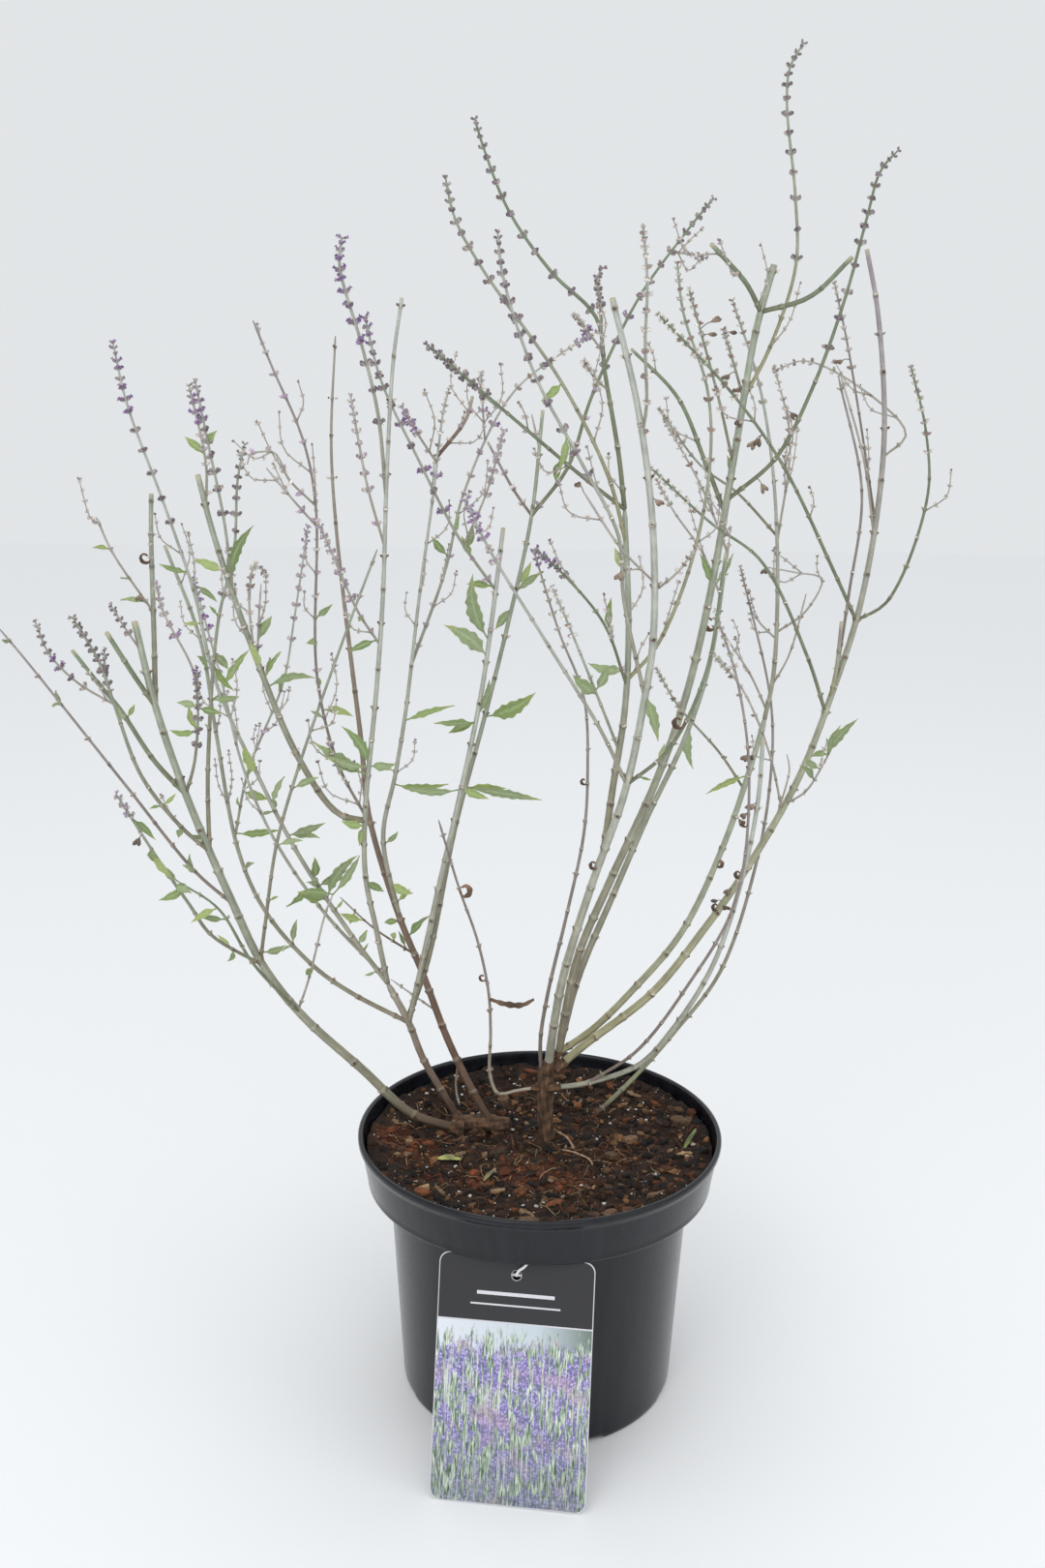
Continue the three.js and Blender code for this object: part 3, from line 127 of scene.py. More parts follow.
CRUMB_TINTS = [
    (0.07, 0.05, 0.04), (0.14, 0.09, 0.06), (0.21, 0.13, 0.08), (0.30, 0.19, 0.12), (0.05, 0.04, 0.035),
    (0.46, 0.33, 0.21), (0.17, 0.105, 0.06), (0.24, 0.14, 0.08), (0.34, 0.19, 0.10),
]
ORANGE_CRUMB = (0.45, 0.24, 0.13)
PERLITE_TINT = (0.86, 0.85, 0.82)
FIBRE_TINTS = [
    (0.34, 0.22, 0.14), (0.50, 0.36, 0.24), (0.24, 0.15, 0.10), (0.64, 0.53, 0.40), (0.46, 0.25, 0.14),
]
ROOTLET_TINT = (0.74, 0.62, 0.50)
CHIP_TINTS = [
    (0.24, 0.17, 0.12), (0.36, 0.26, 0.18), (0.56, 0.46, 0.34), (0.15, 0.11, 0.08), (0.44, 0.26, 0.15),
]
PALE_CHIPS = [(0.52, 0.42, 0.31), (0.60, 0.50, 0.37), (0.44, 0.34, 0.25)]
POT_TINT = (0.2, 0.21, 0.22)
STRAND_TINT = (0.93, 0.93, 0.92)

# The canes are drawn as they are seen from the camera's place: each [x, z] is a place in the upright plane
# through the pot's axis, and a stem that lies deeper moves away along the line of sight.
# "tones" names the branches whose tone isn't the cane's own. "earth" is how far up the foot earth clings.
# "twigs" and "small_leaves" are the shares of the thin stems' scars that carry them.
# "full" names the spikes with full mauve whorls, and "pale" those with pale, woolly calyces.
# A branch is its name, what it springs from, depth of its tip, radius at foot and tip, length of its spike,
# and its points. A leaf is its branch, foot, tip, width, and how much deeper its tip lies.
# A curl is a dried leaf rolled into a ring: its branch, seat, diameter and side.
CANES = [
    {
        "node": "cane_left_outer", "slot": "stem_olive", "crown": "left", "foot_depth": 21, "tone": "olive",
        "earth": 55, "twigs": 0.05, "small_leaves": 0.16,
        "tones": {"dry": "far_left", "deep": "side cut_short low"},
        "full": "near fork fork_spike tall side_spike violet fluffy spikelet",
        "pale": "near fluffy",
        "branches": [
            ["main", "", -20, 2.5, 1.5, 0, [[-41, 141.5], [-50, 143.5], [-68, 150], [-93.5, 175], [-125, 206],
                [-144, 233], [-158, 266], [-179.5, 324], [-192.5, 369], [-200.5, 411]]],
            ["low", "main", -55, 1, 0.5, 0, [[-125, 206], [-149, 234], [-166, 264], [-185.5, 278]]],
            ["twig", "main", 8, 0.6, 0.5, 0, [[-125, 208], [-121, 224], [-111, 262], [-107, 272]]],
            ["near", "main", -100, 1, 0.5, 22, [[-144, 233], [-169.6, 249], [-180.6, 266], [-197.6, 294],
                [-214.5, 324]]],
            ["cross", "main", -60, 0.9, 0.5, 0, [[-144, 236], [-142, 256], [-135, 298], [-122.8, 338.5],
                [-97.7, 407], [-82, 447]]],
            ["far_left", "main", -10, 0.9, 0.5, 0, [[-158, 265], [-176.7, 283.5], [-209.5, 328.5],
                [-252.7, 388.5], [-266.7, 407]]],
            ["fork", "main", -90, 1.1, 0.5, 40, [[-169, 295.5], [-182.3, 306.6], [-201, 332.7], [-212.6, 369],
                [-219, 391], [-230.8, 413]]],
            ["fork_spike", "fork", -70, 0.6, 0.5, 20, [[-216.5, 374], [-216.3, 385], [-216, 397]]],
            ["tall", "main", 10, 1.1, 0.5, 78, [[-169, 295.5], [-168, 336], [-160, 410.5], [-150.7, 446.5],
                [-147.8, 479.5], [-143.7, 496.5]]],
            ["side", "main", 20, 1.3, 1, 0, [[-179.5, 324], [-194.3, 341], [-210.8, 368.5], [-217.9, 377.5],
                [-231.8, 396.5]]],
            ["side_spike", "side", -5, 0.6, 0.5, 45, [[-210.8, 368.5], [-230.9, 381], [-243.4, 395],
                [-249, 411]]],
            ["violet", "main", -35, 0.8, 0.5, 52, [[-179.5, 324], [-174.3, 341.5], [-171.5, 368.5],
                [-171.7, 388]]],
            ["fluffy", "violet", -50, 0.6, 0.5, 34, [[-171.5, 368.5], [-173, 387], [-186.5, 416.5],
                [-189, 430]]],
            ["cut_short", "main", -28, 1.2, 1.1, 0, [[-192.5, 369], [-202, 384], [-214.5, 405.5]]],
            ["cut_tall", "main", 0, 1.3, 1, 0, [[-192.5, 369], [-191.5, 400], [-190.2, 455.7],
                [-189.2, 472.5]]],
            ["top_left", "cut_tall", -35, 0.6, 0.5, 0, [[-191, 415], [-209.4, 444.5], [-216, 461]]],
            ["spikelet", "main", -30, 0.5, 0.5, 22, [[-196.5, 396], [-206, 409], [-211.7, 419]]],
        ],
        "leaves": [
            ["near", [-197.6, 294], [-188, 280], 4, -6], ["near", [-208, 311], [-196, 300], 3.5, -5],
            ["low", [-166, 264], [-180, 256], 4, -6], ["low", [-181, 275], [-196, 268], 4.5, -5],
            ["low", [-185, 278], [-193, 287], 4, 3], ["violet", [-172, 357], [-186, 357], 4, -8],
            ["tall", [-162, 390], [-153, 377], 4, 5],
        ],
        "curls": [["cut_tall", [-190.6, 441], 6, -1]],
    },
    {
        "node": "cane_left_inner", "slot": "stem_pale", "crown": "left", "foot_depth": 26, "tone": "pale",
        "earth": 30, "twigs": 0.26, "small_leaves": 0.16,
        "tones": {"brown": "main", "olive": "west cut twin_b", "dry": "thin twin_b_dark",
                  "deep": "twin_b_spike"},
        "full": "west_spike long_spike behind pale_left pale_up violet cut_right "
                "twin_a_spike twin_a_small twin_b_spike twin_b_side",
        "pale": "west_spike behind pale_left pale_up curled twin_a_small",
        "branches": [
            ["main", "", 16, 1.9, 1.7, 0, [[-42, 145], [-49.6, 159], [-62, 182.5], [-69, 202], [-79.8, 224]]],
            ["west", "main", 100, 1.3, 1, 0, [[-69, 202], [-99, 218.5], [-118, 233], [-141.4, 262],
                [-154, 293.5], [-163.4, 358], [-168.9, 402.5], [-184, 448]]],
            ["west_spike", "west", 125, 0.7, 0.5, 66, [[-155, 304], [-148, 336], [-129, 382], [-122.7, 413.7],
                [-115, 457.5]]],
            ["long_spike", "main", 20, 1.3, 0.5, 92, [[-79.8, 224], [-95, 245.5], [-124.8, 294.6],
                [-142.9, 333.7], [-162.4, 382], [-171, 426], [-184, 469.5], [-198.5, 514], [-203.5, 541.5]]],
            ["behind", "long_spike", 75, 1, 0.5, 70, [[-86, 234], [-111.5, 262], [-135.3, 299.7], [-150, 337],
                [-160, 385], [-171, 432]]],
            ["pale", "main", -85, 1.4, 0.7, 0, [[-79.8, 224], [-85.2, 253.5], [-90.2, 281.7], [-90, 314],
                [-83.5, 376.5], [-79.5, 425], [-77, 480.5], [-73.2, 535], [-69, 562.5]]],
            ["pale_left", "pale", -70, 0.6, 0.5, 50, [[-81.4, 399.5], [-92, 417.5], [-104.5, 447],
                [-110.2, 460]]],
            ["pale_up", "pale", -40, 0.6, 0.5, 52, [[-78.5, 447], [-86, 476], [-90, 497.5], [-93.5, 519]]],
            ["violet", "pale", -90, 0.8, 0.6, 92, [[-80.4, 472.5], [-80.8, 511], [-87.8, 541.5], [-97.5, 577],
                [-96, 589]]],
            ["thin", "pale", -30, 0.7, 0.5, 0, [[-91, 315], [-103, 340.7], [-112.4, 385.5], [-111, 467.5],
                [-116.2, 498], [-129.9, 531.5], [-138, 552]]],
            ["hooked", "thin", -50, 0.5, 0.5, 0, [[-111, 467], [-123.6, 480], [-130, 492], [-141.5, 491],
                [-143, 486.5]]],
            ["thin_side", "thin", -10, 0.5, 0.5, 0, [[-111, 460], [-122, 470.5], [-134, 485]]],
            ["cut", "pale", -50, 1.5, 1.2, 0, [[-90, 311], [-103.4, 315], [-122.3, 343], [-144.3, 400.5],
                [-160.5, 454], [-166.7, 481.5]]],
            ["cut_right", "cut", -75, 0.7, 0.5, 64, [[-152.7, 425.5], [-155, 460], [-161, 495.5],
                [-166, 524.5]]],
            ["cut_left", "cut", -45, 0.6, 0.5, 40, [[-163.5, 466], [-162.5, 486], [-169, 523]]],
            ["curled", "cut", -65, 0.5, 0.5, 30, [[-143, 397], [-144.3, 421.5], [-140.8, 439.5],
                [-135.7, 434]]],
            ["small", "cut", -20, 0.5, 0.5, 0, [[-141, 392], [-140, 412.5], [-138.3, 430]]],
            ["twin_a", "main", -10, 1.4, 1, 0, [[-69, 202], [-62.3, 233], [-53, 277], [-43.2, 321],
                [-32.4, 373.5], [-26.9, 412], [-21.5, 458]]],
            ["twin_a_spike", "twin_a", -60, 0.7, 0.5, 110, [[-26.3, 428], [-43, 453.5], [-62.8, 491.5],
                [-79, 525.5], [-86.3, 554.5]]],
            ["twin_a_small", "twin_a_spike", -45, 0.5, 0.5, 40, [[-38, 452], [-29.4, 475], [-21.5, 504]]],
            ["twin_b", "main", 12, 1.4, 0.8, 0, [[-68, 205], [-59, 236], [-44.3, 310], [-30.9, 362],
                [-18.7, 412.5], [-8, 464], [-3.3, 513]]],
            ["twin_b_arm", "twin_b", 30, 0.5, 0.5, 0, [[-5, 497], [-8.5, 511]]],
            ["twin_b_dark", "twin_b", 45, 0.7, 0.6, 0, [[-8.5, 463], [-17.3, 477], [-29, 498]]],
            ["twin_b_spike", "twin_b", 60, 0.9, 0.5, 110, [[-7.5, 465], [9, 487], [19.5, 519.5],
                [40.7, 564.5], [61.3, 593], [73, 607.5]]],
            ["twin_b_side", "twin_b_spike", 75, 0.5, 0.5, 12, [[56, 584], [64, 583], [70, 581.5]]],
        ],
        "leaves": [
            ["cut", [-153, 430], [-141, 458], 6.5, -12], ["cut", [-136, 379], [-113, 384], 5, -8],
            ["cut", [-140, 388], [-145, 402], 4, -6], ["west_spike", [-150, 326], [-138, 322], 6, 8],
            ["long_spike", [-137, 320], [-130, 334], 5, -6], ["long_spike", [-143, 334], [-150, 350], 6, -7],
            ["thin", [-110, 369], [-95, 365], 4.5, 6], ["pale", [-89, 335], [-115, 352], 9, -10],
            ["pale", [-88, 340], [-101, 360], 6, -12], ["pale", [-88, 341], [-74, 341], 5, -6],
            ["pale", [-90, 308], [-102, 311], 5, -7], ["long_spike", [-107, 270], [-125, 273], 7, -8],
            ["long_spike", [-107, 270], [-94, 293], 6.5, -8], ["behind", [-121, 276], [-131, 265], 4.5, 8],
            ["pale", [-89, 280], [-81, 274], 5, -6], ["twin_a", [-35, 362], [-55, 362], 5, -10],
            ["twin_a", [-34, 366], [-28, 384], 5, -9], ["twin_b", [-30, 364], [-5, 378], 9, -8],
            ["twin_a", [-41, 329], [-72, 330], 4.5, -10], ["twin_b", [-39, 329], [-19, 329], 5, 6],
            ["twin_b", [-39, 329], [-1, 323], 5.5, -8], ["twin_a", [-29, 396], [-50, 411], 9, -10],
            ["twin_a", [-28, 405], [-36, 436], 8.5, -12], ["twin_b", [-15, 427], [-3, 437], 4.5, 6],
        ],
    },
    {
        "node": "cane_left_brown", "slot": "stem_brown", "crown": "left", "foot_depth": 23, "tone": "brown",
        "earth": 30, "twigs": 0.34, "small_leaves": 0.16,
        "tones": {"pale": "long middle"},
        "full": "middle_left",
        "pale": "middle middle_left long long_up",
        "branches": [
            ["main", "", 80, 2.1, 0.5, 0, [[-24, 142], [-35, 162], [-49, 193.5], [-61.2, 228.5], [-73.5, 261],
                [-88, 314], [-91.2, 352], [-96, 398], [-101.6, 459], [-103, 497], [-100, 545.5]]],
            ["middle", "main", 35, 1.3, 0.5, 50, [[-73.5, 261], [-81, 302.8], [-74.5, 335.5], [-69, 368],
                [-61.9, 424.5], [-55, 473], [-50, 512], [-47.3, 522.5]]],
            ["middle_cut", "middle", 60, 0.9, 0.8, 0, [[-50.7, 491], [-39.5, 508.3], [-36.3, 518.8]]],
            ["middle_left", "middle", 5, 0.6, 0.5, 24, [[-52.8, 488.5], [-60.8, 499.5], [-69.8, 514.5]]],
            ["long", "middle", 125, 0.8, 0.5, 90, [[-66.5, 392], [-49.3, 437.5], [-40.3, 474.5], [-18, 520],
                [5.3, 539], [22.8, 549.5]]],
            ["long_up", "long", 75, 0.5, 0.5, 22, [[-30.5, 499.5], [-31.7, 517], [-32.4, 530]]],
            ["twig_low", "main", 55, 0.6, 0.5, 0, [[-56, 207], [-70, 220], [-78, 226]]],
            ["twig_high", "main", 85, 0.7, 0.5, 0, [[-66.8, 239], [-87, 254.5], [-103.3, 270.5]]],
            ["twig_dead", "main", 18, 0.7, 0.5, 0, [[-44, 178], [-44.5, 165], [-42.5, 155]]],
        ],
        "leaves": [
            ["middle", [-69, 363], [-45, 371], 4.5, -8], ["middle", [-74, 331], [-48, 331], 5, -8],
            ["middle", [-76, 280], [-66, 273], 5.5, -6],
        ],
    },
    {
        "node": "cane_dead", "slot": "stem_dry", "crown": "right", "foot_depth": 13, "tone": "dead",
        "branches": [
            ["main", "", -12, 0.9, 0.5, 0, [[2, 166.3], [-11.7, 164], [-22, 162], [-26.3, 172],
                [-26.3, 197.5], [-27.5, 219.7], [-33.2, 247.5], [-43, 277], [-53, 312]]],
        ],
        "curls": [["main", [-42, 275], 6.4, 1], ["main", [-29, 228], 4, -1]],
    },
    {
        "node": "cane_middle_thin", "slot": "stem_dry", "crown": "right", "foot_depth": 12, "tone": "dry",
        "branches": [
            ["main", "", 60, 1, 0.5, 62, [[1, 170], [-0.3, 191.5], [3, 217.7], [12.5, 263.5], [20.2, 306],
                [21.4, 337.5], [18.7, 376], [6.1, 408], [-7, 448]]],
        ],
        "curls": [["main", [21.4, 334], 4, -1]],
    },
    {
        "node": "cane_front", "slot": "stem_pale", "crown": "right", "foot_depth": 8, "tone": "pale",
        "twigs": 0.2, "small_leaves": 0.04,
        "tones": {"olive": "brown", "deep": "dark reach crest right", "green": "bowed crest_left"},
        "full": "left near_spike dark crest crest_left reach crest_up",
        "pale": "left",
        "branches": [
            ["main", "", -95, 2.2, 1.2, 0, [[4, 175], [5.5, 191.5], [11, 228], [24.7, 278.5], [40.3, 328],
                [48.8, 376], [52, 406.5], [49.9, 460.5], [41.4, 514], [28.1, 563.5]]],
            ["left", "main", -105, 0.9, 0.5, 34, [[41.5, 331], [27.6, 359], [-0.4, 403.5], [-28, 447.5],
                [-40, 471.5]]],
            ["right", "main", -110, 0.9, 0.6, 0, [[43.5, 331.5], [60.7, 349], [77.9, 387], [85.5, 447]]],
            ["near_spike", "main", -120, 0.9, 0.5, 110, [[48.8, 376], [37, 425], [34, 454], [14.2, 491],
                [-7, 528.5], [-22.4, 572.5], [-25, 592]]],
            ["leaf_twig", "main", -85, 0.5, 0.5, 0, [[51.5, 432], [35, 449], [16.5, 475.5]]],
            ["right_twig", "main", -60, 0.5, 0.5, 16, [[53, 430], [63, 438], [71, 449.5]]],
            ["upright", "main", -115, 0.7, 0.5, 88, [[44, 502], [45.3, 515.5], [43.8, 544], [44, 570.5],
                [41.3, 595]]],
            ["brown", "main", -25, 1.7, 1.2, 0, [[29.8, 298], [34, 328.5], [39.1, 370], [39.8, 411.5],
                [36.3, 467.5]]],
            ["dark", "brown", -65, 0.7, 0.5, 22, [[39.2, 383], [28, 412], [8.3, 435.5], [-6, 448]]],
            ["bowed", "brown", -45, 0.9, 0.5, 88, [[39.3, 384], [53.7, 401.5], [68.7, 441], [76.1, 487],
                [73.7, 522.5], [61, 557.5], [57.4, 579.5]]],
            ["second", "brown", -50, 0.7, 0.5, 30, [[37, 348], [25.2, 377], [11.7, 409], [2.4, 430]]],
            ["crest", "brown", -10, 1.1, 0.5, 112, [[36.5, 468], [32.9, 492.5], [25.5, 530], [21, 554.5],
                [0, 574.5], [-20, 601], [-31.3, 627], [-35.7, 640]]],
            ["crest_left", "brown", -75, 0.9, 0.5, 100, [[37, 452], [28.5, 482], [5.4, 525.5], [-32.4, 576.5],
                [-44.5, 597.5], [-48.8, 615]]],
            ["reach", "brown", -130, 0.9, 0.5, 50, [[36, 468.5], [15.3, 483], [-21.9, 513], [-57.5, 542]]],
            ["crest_up", "crest", -45, 0.5, 0.5, 28, [[25.3, 546], [23.3, 557], [21.1, 573], [23.6, 577]]],
            ["crest_side", "crest", -50, 0.5, 0.5, 20, [[24, 540], [16.8, 549], [10.9, 556]]],
            ["crest_low", "crest", -60, 0.5, 0.5, 16, [[25.8, 522], [20.6, 528], [15.4, 535.5]]],
        ],
        "leaves": [
            ["second", [25.2, 377], [13, 387], 7, -8], ["brown", [39.2, 389], [20.3, 393], 6, 7],
        ],
        "curls": [["right", [66, 364], 6.5, -1], ["main", [28, 291], 5, -1]],
    },
    {
        "node": "cane_tall", "slot": "stem_olive", "crown": "right", "foot_depth": 14, "tone": "olive",
        "twigs": 0.17, "small_leaves": 0.05,
        "tones": {"deep": "dark arm_left arm_right right_spike", "green": "highest arched",
                  "pale": "arched_up"},
        "full": "highest right_spike",
        "branches": [
            ["main", "", 10, 2.1, 1.5, 0, [[9, 180], [11.5, 201], [18.5, 239.7], [34.5, 282], [54.7, 331],
                [67.7, 372], [77.7, 420.5], [88.4, 500], [94.8, 549], [101.9, 579]]],
            ["arm_left", "main", -25, 1.1, 1, 0, [[97.2, 559], [89.9, 570], [72.8, 587.5]]],
            ["arm_right", "main", -20, 1.1, 1, 0, [[97.2, 559], [119, 565], [137.4, 582.5]]],
            ["seeded", "main", 35, 0.7, 0.5, 26, [[90.3, 518], [86.3, 532], [79.7, 550.5]]],
            ["highest", "main", 20, 0.9, 0.5, 104, [[91, 519], [102.4, 544], [111.8, 578.5], [110, 608],
                [104, 647.5], [104.6, 662.5], [110.3, 672.5]]],
            ["right_spike", "main", -35, 1, 0.5, 90, [[86, 471], [107.1, 492], [122.5, 524], [135.3, 564.5],
                [143.1, 600], [147.9, 620], [155.3, 628.5]]],
            ["dark", "main", 65, 1.1, 0.8, 0, [[85, 468], [73.6, 490.5], [59.7, 519.5], [37.5, 541]]],
            ["left_spike", "main", -25, 0.7, 0.5, 70, [[87, 487.5], [78.7, 520], [63.2, 568]]],
            ["back", "main", 80, 1.9, 0.9, 0, [[11, 192], [18.8, 228], [36, 274], [52.3, 316], [68.8, 354.5],
                [79.8, 392.5], [86.5, 452]]],
            ["back_thin", "back", 105, 0.6, 0.5, 30, [[85, 450], [73, 477.5], [54.2, 508.5]]],
            ["back_twig", "back", 110, 0.6, 0.5, 20, [[83, 428], [74.4, 447], [59.6, 467], [51, 481.5]]],
            ["arched", "main", 60, 1.9, 1.5, 0, [[10.5, 186], [27.3, 199.7], [47.2, 221.5], [71.3, 253.5],
                [91, 301], [104.4, 349], [108.5, 367]]],
            ["arched_up", "arched", 35, 1.2, 0.5, 60, [[108.5, 366], [111.4, 387.5], [111.1, 433],
                [106.2, 485.5], [97.7, 525.5], [83.3, 563.5]]],
            ["arched_side", "arched_up", 65, 0.6, 0.5, 44, [[109.6, 453.5], [113.4, 501], [104.3, 534]]],
            ["arched_left", "arched_up", 130, 0.7, 0.5, 30, [[108.4, 457], [90, 475.5], [71.6, 488.5],
                [51.4, 514]]],
            ["arched_hook", "arched_up", 90, 0.6, 0.5, 0, [[112, 408.5], [125.5, 419.5], [132.3, 435.5],
                [120.8, 438], [105.8, 440.5]]],
            ["arched_bit", "arched_up", 75, 0.5, 0.5, 0, [[111, 407], [103.6, 413.5], [100.3, 418.5]]],
            ["arched_thin", "arched_up", 45, 0.5, 0.5, 0, [[112.3, 381.5], [118.6, 398], [125.2, 428]]],
            ["arched_diag", "arched", 110, 0.7, 0.5, 30, [[98.3, 328.5], [86.7, 348.5], [65, 372.5],
                [54, 390.5]]],
            ["arched_low", "arched_up", 100, 0.6, 0.5, 0, [[108.7, 370.5], [100.1, 388], [83.9, 411]]],
        ],
        "leaves": [
            ["arched_diag", [72, 365], [74, 340], 6, 6], ["arched", [101, 337], [80.8, 327], 4, 7],
        ],
        "curls": [["back", [81.5, 413], 9, -1], ["arched", [88, 291], 4, 1]],
    },
    {
        "node": "cane_right_outer", "slot": "stem_olive", "crown": "right", "foot_depth": 9, "tone": "mauve",
        "twigs": 0.13, "small_leaves": 0.02,
        "tones": {"dry": "purple purple_high", "deep": "far_right diagonal diagonal_high"},
        "branches": [
            ["main", "", 55, 2.2, 1.1, 0, [[8, 176.5], [23, 190.5], [57.3, 220], [82.6, 255], [104.3, 290.3],
                [126.6, 335.5], [140.7, 379], [152.2, 426], [157.8, 498], [151, 557.5], [143.9, 586]]],
            ["cut", "main", 25, 1, 0.9, 0, [[140, 376], [142.1, 391.5], [143.2, 414.5]]],
            ["diagonal", "main", -15, 0.9, 0.5, 34, [[137.5, 371], [127.4, 397.5], [102.7, 443.5],
                [77.6, 461.5], [47, 488]]],
            ["diagonal_high", "main", -70, 0.9, 0.5, 70, [[151, 413.5], [137.1, 440.5], [111.2, 488],
                [85.2, 521.5], [49.6, 556.5]]],
            ["far_right", "main", 10, 0.8, 0.5, 50, [[151.5, 413.5], [164.5, 424.5], [180.1, 473.5],
                [177.3, 504.5], [167.9, 534.5]]],
            ["purple", "main", 20, 0.8, 0.5, 0, [[141.5, 383], [145.9, 428.5], [148.9, 476.5],
                [134.5, 529.5]]],
            ["purple_mid", "main", 50, 0.6, 0.5, 0, [[156, 455], [149, 491], [135.4, 530.5]]],
            ["purple_high", "main", 70, 0.6, 0.5, 50, [[156.5, 463], [145.6, 511], [137.1, 546.5],
                [129.9, 571.5]]],
            ["arc", "main", 85, 0.6, 0.5, 34, [[158, 493.5], [167.9, 503.5], [156, 517], [119.2, 536.5],
                [104.1, 532]]],
            ["leafy", "main", -20, 0.6, 0.5, 0, [[121, 322], [130.6, 329], [141, 348]]],
            ["diagonal_low", "main", -20, 0.6, 0.5, 20, [[119, 321], [111.3, 349], [96.4, 381], [82.4, 397]]],
            ["twig", "main", 50, 0.5, 0.5, 0, [[115, 314], [121.9, 340.5], [120.2, 348]]],
        ],
        "leaves": [
            ["leafy", [141, 348], [154.5, 366.5], 5, -6], ["leafy", [140, 346], [146, 363], 4, 4],
            ["leafy", [137, 340], [129, 347], 4, -4],
        ],
        "curls": [["main", [91, 266], 5, -1], ["main", [102, 286], 5, -1]],
    },
    {
        "node": "cane_right_low", "slot": "stem_pale", "crown": "right", "foot_depth": 9, "tone": "pale",
        "tones": {"dry": "purple"},
        "branches": [
            ["main", "", -10, 1.5, 1, 0, [[4, 165.6], [23.3, 168.3], [51.7, 179.5], [69, 200.3], [88, 235.3],
                [101, 283], [106.9, 322], [108, 355.5]]],
            ["purple", "main", -60, 0.9, 0.5, 30, [[24.5, 169], [50, 187], [75.4, 224], [98, 270],
                [102.1, 335], [93.6, 386], [81.5, 418.5]]],
        ],
        "curls": [["purple", [101, 313], 3.5, -1]],
    },
    {
        "node": "cane_right_rooted", "slot": "stem_dry", "foot_depth": 40, "tone": "rooted", "earth": 14,
        "branches": [
            ["main", "", 95, 1.3, 0.5, 30, [[29.3, 150.3], [49, 171.7], [69.5, 198], [92, 232],
                [107.5, 289.5], [112.6, 333], [111.1, 373], [92.7, 441]]],
        ],
    },
]

# Places [x, z] seen in the upright plane where whorls are in flower, with a reach.
BLOOMS = [
    (-67, 508, 6), (-71, 501, 6), (-70, 490, 6), (-58, 480, 6), (-54, 462, 7), (-27, 509, 6), (-37, 497, 6),
    (-35, 463, 8), (-29, 457, 6), (-3, 443, 6), (2, 457, 6), (5, 474, 6), (-98, 580, 22), (-86, 550, 12),
    (-40, 471, 10), (-203, 535, 9), (-199, 516, 7), (-173, 408, 9), (-171, 425, 8), (-240, 386, 6),
    (-172, 388, 7), (-164, 512, 9), (21, 523, 6), (34, 552, 7), (14, 545, 5), (-121, 455, 7), (-12, 568, 5),
]

# Small leaves by the places of foot and tip, with their width.
# Each grows on the stem seen nearest to its foot.
SMALL_LEAVES = [
    ((-187, 279), (-179, 272), 5), ((-164, 396), (-156, 388), 5), ((-172, 357), (-176, 370), 4),
    ((-84, 402), (-97, 397), 4), ((-112, 279), (-104, 285), 4), ((-95, 246), (-90, 253), 4),
    ((-162, 492), (-172, 499), 4), ((-156, 437), (-170, 442), 5), ((-17, 419), (-25, 409), 5),
    ((-69, 250), (-58, 261), 5), ((30, 409), (31, 425), 4), ((5, 526), (-4, 517), 5),
    ((36, 437), (32, 449), 4), ((25, 379), (30, 392), 5), ((83, 432), (89, 447), 4),
    ((80, 430), (73, 447), 4),
    ((-176, 434), (-187, 439), 4), ((-164, 429), (-160, 421), 4), ((-160, 496), (-157, 502), 3.5),
    ((-172, 368), (-182, 371), 4), ((-172, 368), (-160, 366), 4), ((-149, 380), (-145, 398), 5),
    ((-150, 303), (-133, 306), 5), ((-126, 305), (-113, 302), 5), ((-126, 305), (-110, 310), 5),
    ((-88, 340), (-108, 345), 5), ((-136, 383), (-130, 397), 5), ((-93, 308), (-93, 298), 4),
    ((-105, 285), (-116, 292), 5), ((-103, 283), (-93, 293), 5), ((-106, 279), (-125, 273), 5),
    ((-67, 259), (-81, 257), 4), ((-27, 428), (-39, 431), 4), ((-16, 432), (-8, 442), 4),
    ((-38, 449), (-36, 460), 4), ((-35, 364), (-48, 357), 5), ((-41, 329), (-28, 323.5), 5),
    ((-208, 291), (-196, 288), 5), ((-158, 434), (-170, 441), 4), ((-141, 403), (-133.5, 414.5), 5),
    ((54, 378), (56, 354), 6), ((140.5, 349), (132.5, 347), 4), ((7, 492), (3.5, 479.5), 4),
    ((4, 499), (5, 486), 4), ((84, 484), (84, 493), 3),
]

# Brown seed husks that hang from the stems, by the places where they are seen.
HUSKS = [
    (83.5, 530), (86, 523), (89, 510), (97, 500), (99, 501), (101, 480), (113, 513), (136, 537), (105, 440),
    (100, 347), (103, 347), (74, 553.5), (73, 548), (83, 549), (98, 314), (101, 317), (105, 322), (92, 268),
    (95, 277), (89, 271), (-197, 424), (15, 478), (-204, 301), (35, 437), (51, 472),
]

# The dead leaf that hangs from the dead cane, by its places.
DEAD_LEAF = [[-27, 216], [-19, 213.5], [-10, 213], [-4, 216]]

